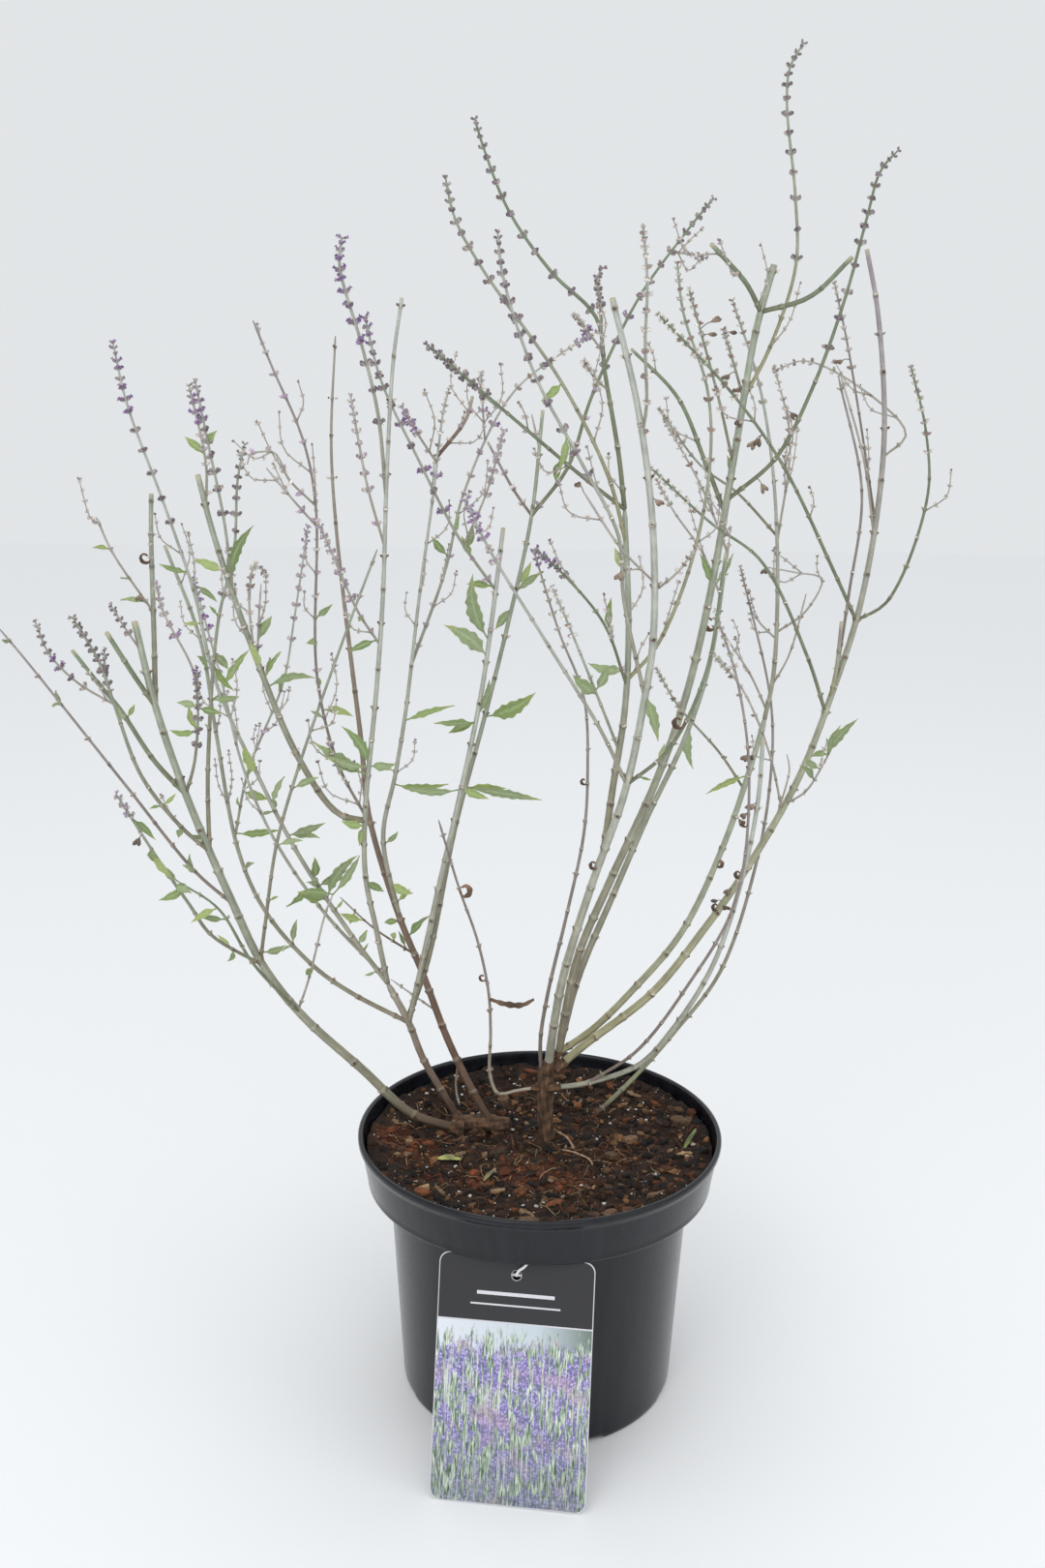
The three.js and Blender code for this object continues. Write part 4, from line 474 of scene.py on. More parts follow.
# The crowns, as [x, y, z, radius].
CROWN_RIGHT = [
    [4.5, 12, 104, 4.4], [4.5, 12, 128, 4.6], [3.5, 12.5, 140, 4], [3, 12.5, 156, 4], [3.6, 12.8, 166, 4.4],
    [6.4, 13.4, 173, 4.4], [9.4, 14, 178.4, 3.2],
]
CROWN_LEFT = [[-16, 21, 134, 3.2], [-23, 22.5, 133, 4.2], [-33, 23, 133, 4.6], [-44, 25, 132.4, 4]]
CROWN_LEFT_ROOT = [[-33, 23, 106, 4], [-33, 23, 119, 4.2], [-33, 23, 132, 4.4]]

# A fallen leaf is its node, place, heading in degrees, length, width, tint and how far its tip rises.
FALLEN_LEAVES = [
    ("fallen_leaf_left", -47, -14, 200, 13, 5, (0.62, 0.62, 0.36), 0.4),
    ("fallen_leaf_front", -26, -30, 60, 12, 4, (0.66, 0.62, 0.38), 0.6),
    ("fallen_leaf_right", 80, 2, 60, 15, 4.5, (0.50, 0.58, 0.28), 3.0),
]
# A large chip of bark is its place, heading in degrees, length and width.
CHIPS = [
    [49, 8, 25, 8, 6], [38, -8, 70, 9, 7], [78, 25, 150, 12, 6], [-20, 58, 60, 9, 6], [-8, -78, 5, 14, 6],
    [34, -70, 40, 8, 5], [60, -52, 20, 14, 4], [-70, 5, 100, 8, 5], [-60, -50, 30, 9, 5],
]
ROOTLETS = [
    [[10, 8, 136], [15, 4, 134.5], [20, -1, 128]],
    [[9, 2, 128], [14, -5, 132], [21, -10, 132.5], [27, -17, 132], [28, -22, 127]],
    [[-64, -2, 128], [-63, -3, 132.5], [-62, -7, 127.5]],
]


class Draws:
    """A repeatable row of draws in 0..1 (Park and Miller)."""

    MODULUS = 2147483647
    FACTOR = 16807

    def __init__(self, seed):
        self.state = seed

    def next(self):
        self.state = self.state * self.FACTOR % self.MODULUS
        return self.state / self.MODULUS

    def between(self, low, high):
        return low + (high - low) * self.next()

    def pick(self, items):
        return items[int(self.next() * len(items)) % len(items)]

    def shade(self, tint, low, high):
        return np.array(tint) * self.between(low, high)


def linear(colour):
    """A screen colour as the renderer counts it."""
    c = np.clip(np.asarray(colour, float), 0, 1)
    return np.where(c <= 0.04045, c / 12.92, ((c + 0.055) / 1.055) ** 2.4)


def unit(v):
    return v / max(np.linalg.norm(v), 1e-9)


def smooth(low, high, x):
    t = np.clip((x - low) / (high - low), 0, 1)
    return t * t * (3 - 2 * t)


def turns(sides):
    """The angles of a ring's corners."""
    return np.arange(sides) * 2 * math.pi / sides


def level_ring(radius, z, sides):
    """The corners of a level ring round the pot's axis."""
    angles = turns(sides)
    return np.stack([radius * np.cos(angles), radius * np.sin(angles), np.full(sides, float(z))], axis=-1)


def vectors(mesh, name, places):
    """Gives a mesh a vector at each corner, for its materials to read."""
    data = mesh.attributes.new(name, "FLOAT_VECTOR", "POINT").data
    data.foreach_set("vector", places.astype(np.float32).ravel())


def show(name, mesh, slot, nodes=()):
    """Puts a mesh in the scene as a piece that rides with the plant."""
    piece = bpy.data.objects.new(name, mesh)
    bpy.context.scene.collection.objects.link(piece)
    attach(piece, "root")
    if nodes:
        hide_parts(*nodes)


class Piece:
    """Collects rings and faces, with a tint and a place in the grain at each corner, into one mesh."""

    def __init__(self, name):
        self.name = name
        self.places, self.tints, self.grains = [], [], []
        self.faces, self.kinds = [], []
        self.count = 0

    def add(self, places, faces, tint, kind=0, grain=None):
        """Adds corners and faces. The tint is one for all, or one for each corner."""
        self.places.append(places)
        self.tints.append(np.broadcast_to(tint, places.shape))
        self.grains.append(places if grain is None else grain.reshape(-1, 3))
        for face in faces:
            self.faces.append([corner + self.count for corner in face])
        self.kinds.extend([kind] * len(faces))
        self.count += len(places)

    def loft(self, rings, tint, kind=0, grain=None):
        """A closed body through rings of corners, each (sides, 3), capped at both ends.

        The tint is one for all, one for each ring or one for each corner.
        """
        rings = np.asarray(rings, float)
        rows, sides = rings.shape[:2]
        faces = []
        for row in range(rows - 1):
            low, high = row * sides, (row + 1) * sides
            for i in range(sides):
                k = (i + 1) % sides
                faces.append((low + i, low + k, high + k, high + i))
        faces.append(tuple(range(sides - 1, -1, -1)))
        faces.append(tuple(range((rows - 1) * sides, rows * sides)))
        tint = np.asarray(tint, float)
        if tint.ndim == 2:
            tint = np.repeat(tint, sides, axis=0)
        elif tint.ndim == 3:
            tint = tint.reshape(-1, 3)
        self.add(rings.reshape(-1, 3), faces, tint, kind, grain)

    def make(self, materials, slot, nodes=(), flat=False):
        mesh = bpy.data.meshes.new(self.name)
        mesh.from_pydata((np.concatenate(self.places) * MM).tolist(), [], self.faces)
        tints = np.concatenate(self.tints)
        colours = np.concatenate([linear(tints), np.ones((len(tints), 1))], axis=1)
        data = mesh.attributes.new("tint", "FLOAT_COLOR", "POINT").data
        data.foreach_set("color", colours.astype(np.float32).ravel())
        vectors(mesh, "grain", np.concatenate(self.grains))
        for material in materials:
            mesh.materials.append(material)
        mesh.polygons.foreach_set("material_index", self.kinds)
        mesh.polygons.foreach_set("use_smooth", [not flat] * len(self.faces))
        mesh.update()
        show(self.name, mesh, slot, nodes)


# Materials.


class Finish:
    """A material whose nodes are added by short calls."""

    def __init__(self, name, inputs):
        self.material = bpy.data.materials.new(name)
        self.material.use_nodes = True
        self.tree = self.material.node_tree
        self.shader = self.tree.nodes["Principled BSDF"]
        self.fill(self.shader, inputs)

    def fill(self, node, inputs):
        """Joins each input to another node's output, or sets it to a value."""
        for name, value in inputs.items():
            if isinstance(value, bpy.types.NodeSocket):
                self.tree.links.new(value, node.inputs[name])
            else:
                node.inputs[name].default_value = value

    def add(self, kind, output, inputs, **settings):
        node = self.tree.nodes.new("ShaderNode" + kind)
        for name, value in settings.items():
            setattr(node, name, value)
        self.fill(node, inputs)
        return node.outputs[output]

    def at_corners(self, name, output="Vector"):
        return self.add("Attribute", output, {}, attribute_name=name)

    def stretched(self, vector, scale):
        return self.add("Mapping", "Vector", {"Vector": vector, "Scale": scale})

    def noise(self, vector, scale, detail, distortion=0.0):
        inputs = {"Vector": vector, "Scale": scale, "Detail": detail, "Distortion": distortion}
        return self.add("TexNoise", "Fac", inputs)

    def spread(self, value, lows, highs=(0, 1)):
        """Moves a value from one range into another."""
        ends = {"From Min": lows[0], "From Max": lows[1], "To Min": highs[0], "To Max": highs[1]}
        return self.add("MapRange", "Result", {"Value": value, **ends})

    def ramp(self, value, stops):
        """Turns a value into a colour. A stop is a value and its colour on screen."""
        node = self.tree.nodes.new("ShaderNodeValToRGB")
        elements = node.color_ramp.elements
        elements.remove(elements[1])
        elements[0].position = stops[0][0]
        for position, _ in stops[1:]:
            elements.new(position)
        for element, (_, colour) in zip(elements, stops):
            element.color = (*linear(colour), 1)
        self.fill(node, {"Fac": value})
        return node.outputs["Color"]

    def mix(self, share, a, b):
        return self.add("Mix", "Result", {"Factor": share, "A": a, "B": b}, data_type="RGBA")

    def bump(self, height, distance):
        normal = self.add("Bump", "Normal", {"Height": height, "Distance": distance * MM})
        self.fill(self.shader, {"Normal": normal})


def grained(name, rough, mottle, bump, stretch=(1, 1, 1), sheen=0.0, subsurface=0.0):
    """A surface whose tint is broken up by noise laid along the grain.

    The mottle is a scale and a share, and the bump a scale and a height in mm.
    """
    finish = Finish(name, {"Roughness": rough, "Sheen Weight": sheen})
    if subsurface:
        depths = {"Subsurface Radius": (0.002, 0.003, 0.001), "Subsurface Scale": 0.4}
        finish.fill(finish.shader, {"Subsurface Weight": subsurface, **depths})
    along = finish.stretched(finish.at_corners("grain"), stretch)
    shade = finish.spread(finish.noise(along, mottle[0], 6), (0.3, 0.7), (1 - mottle[1], 1 + mottle[1]))
    tint = {0: finish.at_corners("tint", "Color"), "Scale": shade}
    finish.fill(finish.shader, {"Base Color": finish.add("VectorMath", "Vector", tint, operation="SCALE")})
    finish.bump(finish.noise(along, bump[0], 8), bump[1])
    return finish.material


def plain(name, colour, rough, low=0.94, high=1.04):
    """One colour with a faint grain."""
    finish = Finish(name, {"Roughness": rough})
    grain = finish.noise(finish.add("TexCoord", "Object", {}), 900, 2)
    colour = np.array(colour)
    finish.fill(finish.shader, {"Base Color": finish.ramp(grain, [(0, colour * low), (1, colour * high)])})
    return finish.material


def pot_plastic():
    """Glossy black plastic with fine streaks up the wall."""
    finish = Finish("pot_plastic", {"Specular IOR Level": 0.3, "Coat Weight": 0.2})
    grain = finish.at_corners("grain")
    streaks = finish.noise(finish.stretched(grain, (0.22, 0.22, 0.012)), 1.0, 5)
    black = finish.ramp(streaks, [(0.3, (0.03, 0.037, 0.055)), (0.75, (0.095, 0.105, 0.135))])
    rough = finish.spread(finish.noise(grain, 0.35, 9), (0, 1), (0.14, 0.34))
    finish.fill(finish.shader, {"Base Color": black, "Roughness": rough})
    finish.bump(finish.noise(grain, 2.4, 4), 0.015)
    return finish.material


def meadow():
    """The card's picture: a dappled bank of violet over green under a pale sky."""
    finish = Finish("card_picture", {"Roughness": 0.3, "Coat Weight": 0.3})
    card = finish.at_corners("card")
    split = finish.tree.nodes.new("ShaderNodeSeparateXYZ")
    finish.fill(split, {"Vector": card})
    right, up = split.outputs["X"], split.outputs["Y"]

    blades = finish.noise(finish.stretched(card, (95, 20, 1)), 1, 7, 0.8)
    ground = finish.ramp(blades, [
        (0.34, (0.16, 0.26, 0.20)), (0.44, (0.42, 0.52, 0.42)),
        (0.54, (0.68, 0.75, 0.66)), (0.66, (0.92, 0.94, 0.90)),
    ])
    dots = finish.add("TexVoronoi", "Distance", {"Vector": finish.stretched(card, (62, 92, 1)), "Scale": 1})
    petals = finish.ramp(dots, [
        (0.0, (0.93, 0.90, 0.98)), (0.25, (0.72, 0.66, 0.88)),
        (0.5, (0.52, 0.46, 0.73)), (0.8, (0.38, 0.42, 0.50)),
    ])
    drifts = finish.noise(finish.stretched(card, (20, 9, 1)), 1, 12, 1.4)
    look = finish.mix(finish.spread(drifts, (0.45, 0.53)), ground, petals)

    stalks = finish.noise(finish.stretched(card, (130, 3.2, 1)), 1, 2, 0.3)
    pale = finish.ramp(stalks, [(0.0, (0.80, 0.84, 0.80)), (1.0, (0.86, 0.88, 0.84))])
    look = finish.mix(finish.spread(stalks, (0.59, 0.63)), look, pale)

    haze = finish.noise(finish.stretched(card, (4, 9, 1)), 1, 6, 0.5)
    pink = finish.ramp(dots, [(0.0, (0.90, 0.76, 0.86)), (0.8, (0.60, 0.48, 0.62))])
    look = finish.mix(finish.spread(haze, (0.52, 0.68), (0, 0.6)), look, pink)

    shade = finish.ramp(blades, [(0.35, (0.14, 0.22, 0.18)), (0.7, (0.62, 0.70, 0.60))])
    look = finish.mix(finish.spread(up, (0, 0.42), (0.55, 0)), look, shade)

    sky = finish.ramp(right, [
        (0.0, (0.88, 0.90, 0.93)), (0.65, (0.78, 0.82, 0.85)), (1.0, (0.42, 0.48, 0.44)),
    ])
    edge = finish.add("Math", "Value", {0: drifts, 1: 0.34, 2: up}, operation="MULTIPLY_ADD")
    finish.fill(finish.shader, {"Base Color": finish.mix(finish.spread(edge, (0.80, 0.85)), look, sky)})
    return finish.material


# The plant's materials, and the place of each in the list.
STEM, LEAF, WOOL, PETAL, DRY = range(5)
PLANT = [
    grained("stem", 0.72, (1.3, 0.16), (2.2, 0.35), stretch=(1, 1, 0.16)),
    grained("leaf", 0.6, (0.9, 0.14), (1.6, 0.25), sheen=0.15, subsurface=0.15),
    grained("calyx", 0.9, (1.6, 0.12), (3.0, 0.3), sheen=0.5),
    grained("petal", 0.55, (1.5, 0.12), (2.0, 0.15), subsurface=0.2),
    grained("dry_leaf", 0.8, (1.0, 0.3), (1.8, 0.4)),
]
BARK = grained("bark", 0.9, (0.5, 0.4), (0.9, 1.2), stretch=(1, 1, 0.4))
PEAT = grained("peat", 0.95, (0.28, 0.45), (0.8, 1.0))
GRAIN = grained("crumb", 0.95, (0.7, 0.3), (1.4, 0.8))


# Curves.


class Run:
    """A smooth run through points: centripetal Catmull-Rom, measured along its length."""

    STEPS = 14
    HEADING_REACH = 0.4

    def __init__(self, points):
        points = [np.asarray(p, float) for p in points]
        points = [2 * points[0] - points[1], *points, 2 * points[-1] - points[-2]]
        dense = []
        for a, b, c, d in zip(points, points[1:], points[2:], points[3:]):
            dense.append(self.stretch(a, b, c, d))
        dense.append(points[-2][None])
        self.dense = np.concatenate(dense)
        steps = np.linalg.norm(np.diff(self.dense, axis=0), axis=1)
        self.gone = np.concatenate([[0], np.cumsum(steps)])
        self.length = float(self.gone[-1])

    def stretch(self, a, b, c, d):
        """The curve from b to c."""
        t0 = 0.0
        t1 = t0 + max(np.linalg.norm(b - a), 1e-6) ** 0.5
        t2 = t1 + max(np.linalg.norm(c - b), 1e-6) ** 0.5
        t3 = t2 + max(np.linalg.norm(d - c), 1e-6) ** 0.5
        t = np.linspace(t1, t2, self.STEPS, endpoint=False)[:, None]
        ab = (t1 - t) / (t1 - t0) * a + (t - t0) / (t1 - t0) * b
        bc = (t2 - t) / (t2 - t1) * b + (t - t1) / (t2 - t1) * c
        cd = (t3 - t) / (t3 - t2) * c + (t - t2) / (t3 - t2) * d
        abc = (t2 - t) / (t2 - t0) * ab + (t - t0) / (t2 - t0) * bc
        bcd = (t3 - t) / (t3 - t1) * bc + (t - t1) / (t3 - t1) * cd
        return (t2 - t) / (t2 - t1) * abc + (t - t1) / (t2 - t1) * bcd

    def at(self, distances):
        d = np.clip(distances, 0, self.length)
        return np.stack([np.interp(d, self.gone, self.dense[:, k]) for k in range(3)], axis=-1)

    def heading(self, distances):
        d = np.clip(distances, self.HEADING_REACH, self.length - self.HEADING_REACH)
        step = self.at(d + self.HEADING_REACH) - self.at(d - self.HEADING_REACH)
        return step / np.maximum(np.linalg.norm(step, axis=-1, keepdims=True), 1e-9)

    def frames(self, distances):
        """At each distance: the place, two directions across the run that don't twist, and its heading."""
        headings = self.heading(distances)
        across = np.cross((0, 1, 0), headings[0])
        if np.linalg.norm(across) < 1e-3:
            across = np.array([1.0, 0, 0])
        first = []
        for heading in headings:
            across = unit(across - heading * across.dot(heading))
            first.append(across)
        first = np.array(first)
        return self.at(distances), first, np.cross(first, headings), headings

    def pairs(self, distances, draws=None, loose=0.0):
        """Place, heading and outward direction of opposite pairs, each pair a quarter turn from the last."""
        middle, first, second, headings = self.frames(distances)
        for i in range(len(distances)):
            for side in (0, math.pi):
                turn = side + (i % 2) * math.pi / 2
                if loose:
                    turn += draws.between(-loose, loose)
                yield middle[i], headings[i], first[i] * math.cos(turn) + second[i] * math.sin(turn)


VIEW = np.array(CAMERA_PLACE)


def place_at_depth(seen, depth):
    """The place at a depth that is seen over [x, z] of the upright plane through the pot's axis."""
    reach = 1 - depth / VIEW[1]
    return np.array([VIEW[0] + (seen[0] - VIEW[0]) * reach, depth, VIEW[2] + (seen[1] - VIEW[2]) * reach])


def seen_at(places):
    """Where places are seen in the upright plane: [x, z]."""
    reach = 1 - places[..., 1] / VIEW[1]
    x = VIEW[0] + (places[..., 0] - VIEW[0]) / reach
    z = VIEW[2] + (places[..., 2] - VIEW[2]) / reach
    return np.stack([x, z], axis=-1)


def nearest(run, seen):
    """Which of a run's places is seen nearest to a point, and how far off."""
    away = np.linalg.norm(seen_at(run.dense) - np.asarray(seen, float), axis=-1)
    at = int(np.argmin(away))
    return at, away[at]


def seat_on(run, seen):
    return run.dense[nearest(run, seen)[0]]


def grow(cane):
    """Each branch's run, keyed by its name."""
    grown = {}
    for name, parent, tip_depth, _, _, _, points in cane["branches"]:
        foot = seat_on(grown[parent], points[0]) if parent else place_at_depth(points[0], cane["foot_depth"])
        gone = np.concatenate([[0], np.cumsum(np.linalg.norm(np.diff(np.array(points), axis=0), axis=1))])
        places = [foot]
        for point, part in zip(points[1:], gone[1:] / gone[-1]):
            places.append(place_at_depth(point, foot[1] + (tip_depth - foot[1]) * part))
        grown[name] = Run(places)
    return grown


GROWN = {cane["node"]: grow(cane) for cane in CANES}


# Stems. Steps and radii are in mm.

STATION_STEP = 4.0
SWELL_REACH = 1.0
SWELL_STEPS = (-1.7, -0.8, 0, 0.8, 1.7, 2.6)
LEAST_STEP = 0.3
NODE_SPACING = 13.0
WOOLLY_SPACING = 8.0
THICK_STEM = 1.35
TWIG_RADIUS = 0.65
CUT_RADIUS = 0.6
POINTED_TIP = 0.5


def node_distances(length, spike, radius, woolly, draws):
    """Where leaves once stood: pairs of scars along the bare part of a branch."""
    distances = []
    spacing = (WOOLLY_SPACING if woolly else NODE_SPACING) + 5.0 * radius
    at = draws.between(5, 11)
    while at < length - spike - 3:
        distances.append(at)
        at += spacing * draws.between(0.75, 1.25)
    return np.array(distances)


def tube(piece, run, distances, radii, tints, sides, squareness=0.06):
    """A stem's skin along a run, a little square, with its grain along the length."""
    middle, first, second, _ = run.frames(distances)
    angles = turns(sides)
    shape = 1 + squareness * np.cos(4 * angles)
    cos, sin = np.cos(angles) * shape, np.sin(angles) * shape
    radii = np.broadcast_to(radii, distances.shape)
    rings = middle[:, None] + radii[:, None, None] * (
        first[:, None] * cos[None, :, None] + second[:, None] * sin[None, :, None]
    )
    round_grain = [np.cos(angles) * 2, np.sin(angles) * 2, distances[:, None] + middle[0, 0]]
    grain = np.stack([np.broadcast_to(part, rings.shape[:2]) for part in round_grain], axis=-1)
    piece.loft(rings, tints, STEM, grain)


def stem_tints(tone, distances, length, nodes, sides, seed, earth):
    """A stem's tints: its tone from foot to tip, earth on the foot, scars and pale rings at its nodes."""
    foot, half, tip = (np.array(c) for c in STEMS[tone])
    d = np.asarray(distances)
    t = (d / length)[:, None]
    base = np.where(t < 0.5, foot + (half - foot) * t * 2, half + (tip - half) * (t * 2 - 1))
    wave = 0.04 * np.sin(d * 0.21 + seed) + 0.03 * np.sin(d * 0.83 + 2 * seed)
    angles = turns(sides)
    # The four corners are painted a little lighter and the faces between them a little darker: a painted
    # highlight along the stem's ridges.
    corners = 0.055 * np.cos(4 * angles)
    tints = base[:, None] * (1 + wave[:, None, None] + corners[None, :, None])
    if earth:
        soiled = smooth(earth, earth * 0.2, d)[:, None, None]
        tints = tints + (np.array(EARTH) - tints) * (0.8 * soiled)
    for i, node in enumerate(nodes):
        off = (d - node)[:, None]
        side = np.abs(np.cos(angles - math.pi / 2 * (i % 2)))[None] ** 3
        scar = np.exp(-((off / 0.75) ** 2)) * side
        ring = np.exp(-(((off - 1.2) / 0.8) ** 2)) * np.ones(sides)
        tints = tints + (np.array(NODE_PALE) - tints) * (0.42 * ring)[..., None]
        tints = tints + (np.array(SCAR) - tints) * (0.9 * scar)[..., None]
    return tints


def stem(piece, run, foot_radius, tip_radius, spike, tone, draws, cut, woolly, earth):
    """One branch: square in section, swollen and scarred where leaves stood."""
    nodes = node_distances(run.length, spike, foot_radius, woolly, draws)
    regular = np.linspace(0, run.length, max(int(run.length / STATION_STEP), 3))
    extra = [nodes + step for step in SWELL_STEPS]
    distances = np.unique(np.round(np.concatenate([regular, *extra]), 2))
    distances = distances[(distances >= 0) & (distances < run.length - LEAST_STEP)]
    keep = np.concatenate([[True], np.diff(distances) > LEAST_STEP])
    distances = np.append(distances[keep], run.length)
    radii = foot_radius + (tip_radius - foot_radius) * (distances / run.length)
    swell = np.zeros_like(radii)
    for node in nodes:
        swell += np.exp(-(((distances - node) / SWELL_REACH) ** 2))
    radii = radii * (1 + 0.02 * np.sin(distances * 0.9)) + swell * (0.16 + 0.09 * radii)
    if not cut:
        radii[-1] *= POINTED_TIP
    sides = 12 if foot_radius > 1.6 else 8 if foot_radius > 0.8 else 6
    tints = stem_tints(tone, distances, run.length, nodes, sides, draws.between(0, 6), earth)
    if cut:
        tints[-1] = CUT_FACE
    tube(piece, run, distances, radii, tints, sides)
    return nodes


# Small parts: each is a lofted body along a heading.


def cone(piece, foot, heading, length, radii, parts, tint, kind, sides=6, flatten=None):
    """A body along a heading. A radius may be a pair, wide and deep, with its deep side along flatten."""
    heading = unit(np.asarray(heading, float))
    if flatten is None:
        across = unit(np.cross(heading, (0.31, 0.17, 0.93)))
    else:
        across = unit(flatten - heading * heading.dot(flatten))
    other = np.cross(heading, across)
    angles = turns(sides)
    rings = []
    for radius, part in zip(radii, parts):
        wide, deep = radius if isinstance(radius, tuple) else (radius, radius)
        centre = foot + heading * (length * part)
        thick, broad = np.outer(np.cos(angles) * deep, across), np.outer(np.sin(angles) * wide, other)
        rings.append(centre + thick + broad)
    piece.loft(rings, tint, kind)


def tuft(piece, foot, heading, out, size, tint, draws, count=2, kind=WOOL):
    """Tiny dried scales where a leaf once stood."""
    across = np.cross(heading, out)
    for i in range(count):
        lean = (i - (count - 1) / 2) * 0.9
        direction = unit(out * draws.between(0.6, 1.0) + heading * draws.between(0.3, 0.9) + across * lean)
        tint = draws.shade(tint, 0.9, 1.1)
        length = size * draws.between(0.8, 1.25)
        radii = (0.24 * size, 0.34 * size, 0.1 * size)
        tints = [tint * 0.85, tint, tint * 1.05]
        cone(piece, foot, direction, length, radii, (0, 0.5, 1), tints, kind, sides=5)


def bud(piece, foot, heading, out, size, draws):
    """A blunt bud pressed to a thick stem."""
    direction = unit(out * 0.55 + heading * draws.between(0.5, 1.0))
    tint = draws.shade(draws.pick(BUDS), 0.88, 1.1)
    tints = [tint, tint, tint * 0.8, np.array(SCAR) * 0.9]
    radii = (0.5 * size, 0.62 * size, 0.48 * size, 0.16 * size)
    cone(piece, foot, direction, size * 1.3, radii, (0, 0.3, 0.7, 1), tints, DRY, sides=7)


def calyx(piece, foot, direction, size, tint):
    """The small cup that holds a flower."""
    tint = np.array(tint)
    # The tint runs a little darker at the foot and darkest on the closed mouth, which is painted shade for
    # the hollow of the cup.
    tints = [tint * share for share in (0.9, 1.05, 1.08, 0.94, 0.7)]
    radii = [share * size for share in (0.34, 0.74, 1.0, 0.86, 0.4)]
    cone(piece, foot, direction, 2.8 * size, radii, (0, 0.2, 0.55, 0.88, 1.0), tints, WOOL, sides=5)


def wool(piece, foot, out, heading, size, count, draws):
    """Short pale hairs that stand off a whorl."""
    across = np.cross(heading, out)
    for _ in range(count):
        sideways, ahead, off = draws.between(-1, 1), draws.between(-0.5, 1.0), draws.between(0.2, 1.0)
        lean = across * sideways + heading * ahead + out * off
        start = foot + out * 0.8 * size + unit(lean) * 0.5 * size
        cone(piece, start, lean, draws.between(0.9, 1.8), (0.09, 0.03), (0, 1), WOOL_TINT, WOOL, sides=3)


def flower(piece, foot, direction, size, tint, draws):
    """A small two-lipped flower: a tube and five petals."""
    direction = unit(direction)
    tint = np.array(tint)
    throat = (0.4 * size, 0.5 * size, 0.75 * size)
    cone(piece, foot, direction, 2.2 * size, throat, (0, 0.5, 1), tint * 0.9, PETAL)
    mouth = foot + direction * 2.0 * size
    across = unit(np.cross(direction, (0.2, 0.5, 0.84)))
    other = np.cross(direction, across)
    petal = [(0.35 * size, 0.14), (0.85 * size, 0.16), (0.6 * size, 0.14), (0.15, 0.08)]
    for i in range(5):
        turn = 2 * math.pi * i / 5 + draws.between(-0.2, 0.2)
        reach = unit(across * math.cos(turn) + other * math.sin(turn) + direction * 0.55)
        shade = draws.shade(tint, 0.9, 1.2)
        cone(piece, mouth, reach, 2.2 * size, petal, (0, 0.3, 0.65, 1), shade, PETAL, flatten=direction)


# How many faint whorls carry a calyx, how many calyces in bloom are open, and how far bloom tints a calyx.
LONE_CALYX_SHARE = 0.2
OPEN_SHARE = 0.45
BLOOM_SHARE = 0.38


def whorl_distances(spike, draws):
    """Distances of the whorls from a spike's tip: closer towards the tip."""
    distances = []
    at, gap = 0.4, 2.4
    while at < spike:
        distances.append(at)
        at += gap * draws.between(0.85, 1.15)
        gap = min(gap * 1.16, 12.5)
    return distances


def in_bloom(place):
    """Whether a place is seen in one of the patches in flower."""
    x, z = seen_at(place)
    return any(math.hypot(x - bloom_x, z - bloom_z) < reach for bloom_x, bloom_z, reach in BLOOMS)


def flower_spike(piece, run, spike, radius, draws, full, tints):
    """Whorls in opposite pairs, each pair a quarter turn from the last: woolly calyces, or dried scales."""
    order = np.array(sorted(run.length - d for d in whorl_distances(spike, draws)))
    middle, first, second, headings = run.frames(order)
    for i, heading in enumerate(headings):
        from_tip = run.length - order[i]
        size = 0.5 + 0.34 * min(from_tip / 30, 1)
        blooming = in_bloom(middle[i])
        turn = (i % 2) * math.pi / 2 + draws.between(-0.15, 0.15)
        for side in (0, math.pi):
            out = first[i] * math.cos(side + turn) + second[i] * math.sin(side + turn)
            foot = middle[i] + out * radius * 0.6
            if full or blooming:
                whorl(piece, foot, out, heading, size, from_tip, blooming, draws, tints)
                continue
            tuft(piece, foot, heading, out, 2.1 * size + 0.5, draws.pick(TUFTS), draws, 3)
            wool(piece, foot, out, heading, size, 4, draws)
            if draws.next() < LONE_CALYX_SHARE:
                calyx(piece, foot, out + heading * 0.6, size, draws.pick(tints))


def whorl(piece, foot, out, heading, size, from_tip, blooming, draws, tints):
    """The calyces on one side of a whorl, some of them in flower."""
    across = np.cross(heading, out)
    tuft(piece, foot, -heading, out, 1.4 * size, TUFTS[2], draws)
    wool(piece, foot, out, heading, size, 5, draws)
    for lean in (-0.9, -0.3, 0.3, 0.9) if from_tip > 6 else (-0.5, 0.5):
        lean += draws.between(-0.15, 0.15)
        direction = unit(out + across * lean + heading * draws.between(0.3, 1.1))
        own = size * draws.between(0.82, 1.12)
        tint = draws.shade(draws.pick(tints), 0.9, 1.08)
        if blooming:
            tint = tint * (1 - BLOOM_SHARE) + np.array(BLOOM[1]) * BLOOM_SHARE
        calyx(piece, foot + direction * 0.5 * size, direction, own, tint)
        if blooming and draws.next() < OPEN_SHARE:
            flower(piece, foot + direction * 2.4 * own, direction, 0.66 * own, draws.pick(BLOOM), draws)


# Leaves.

LEAF_THICKNESS = 0.4
LOBE_LENGTH = 5.2
RIBBON_ROWS = 30


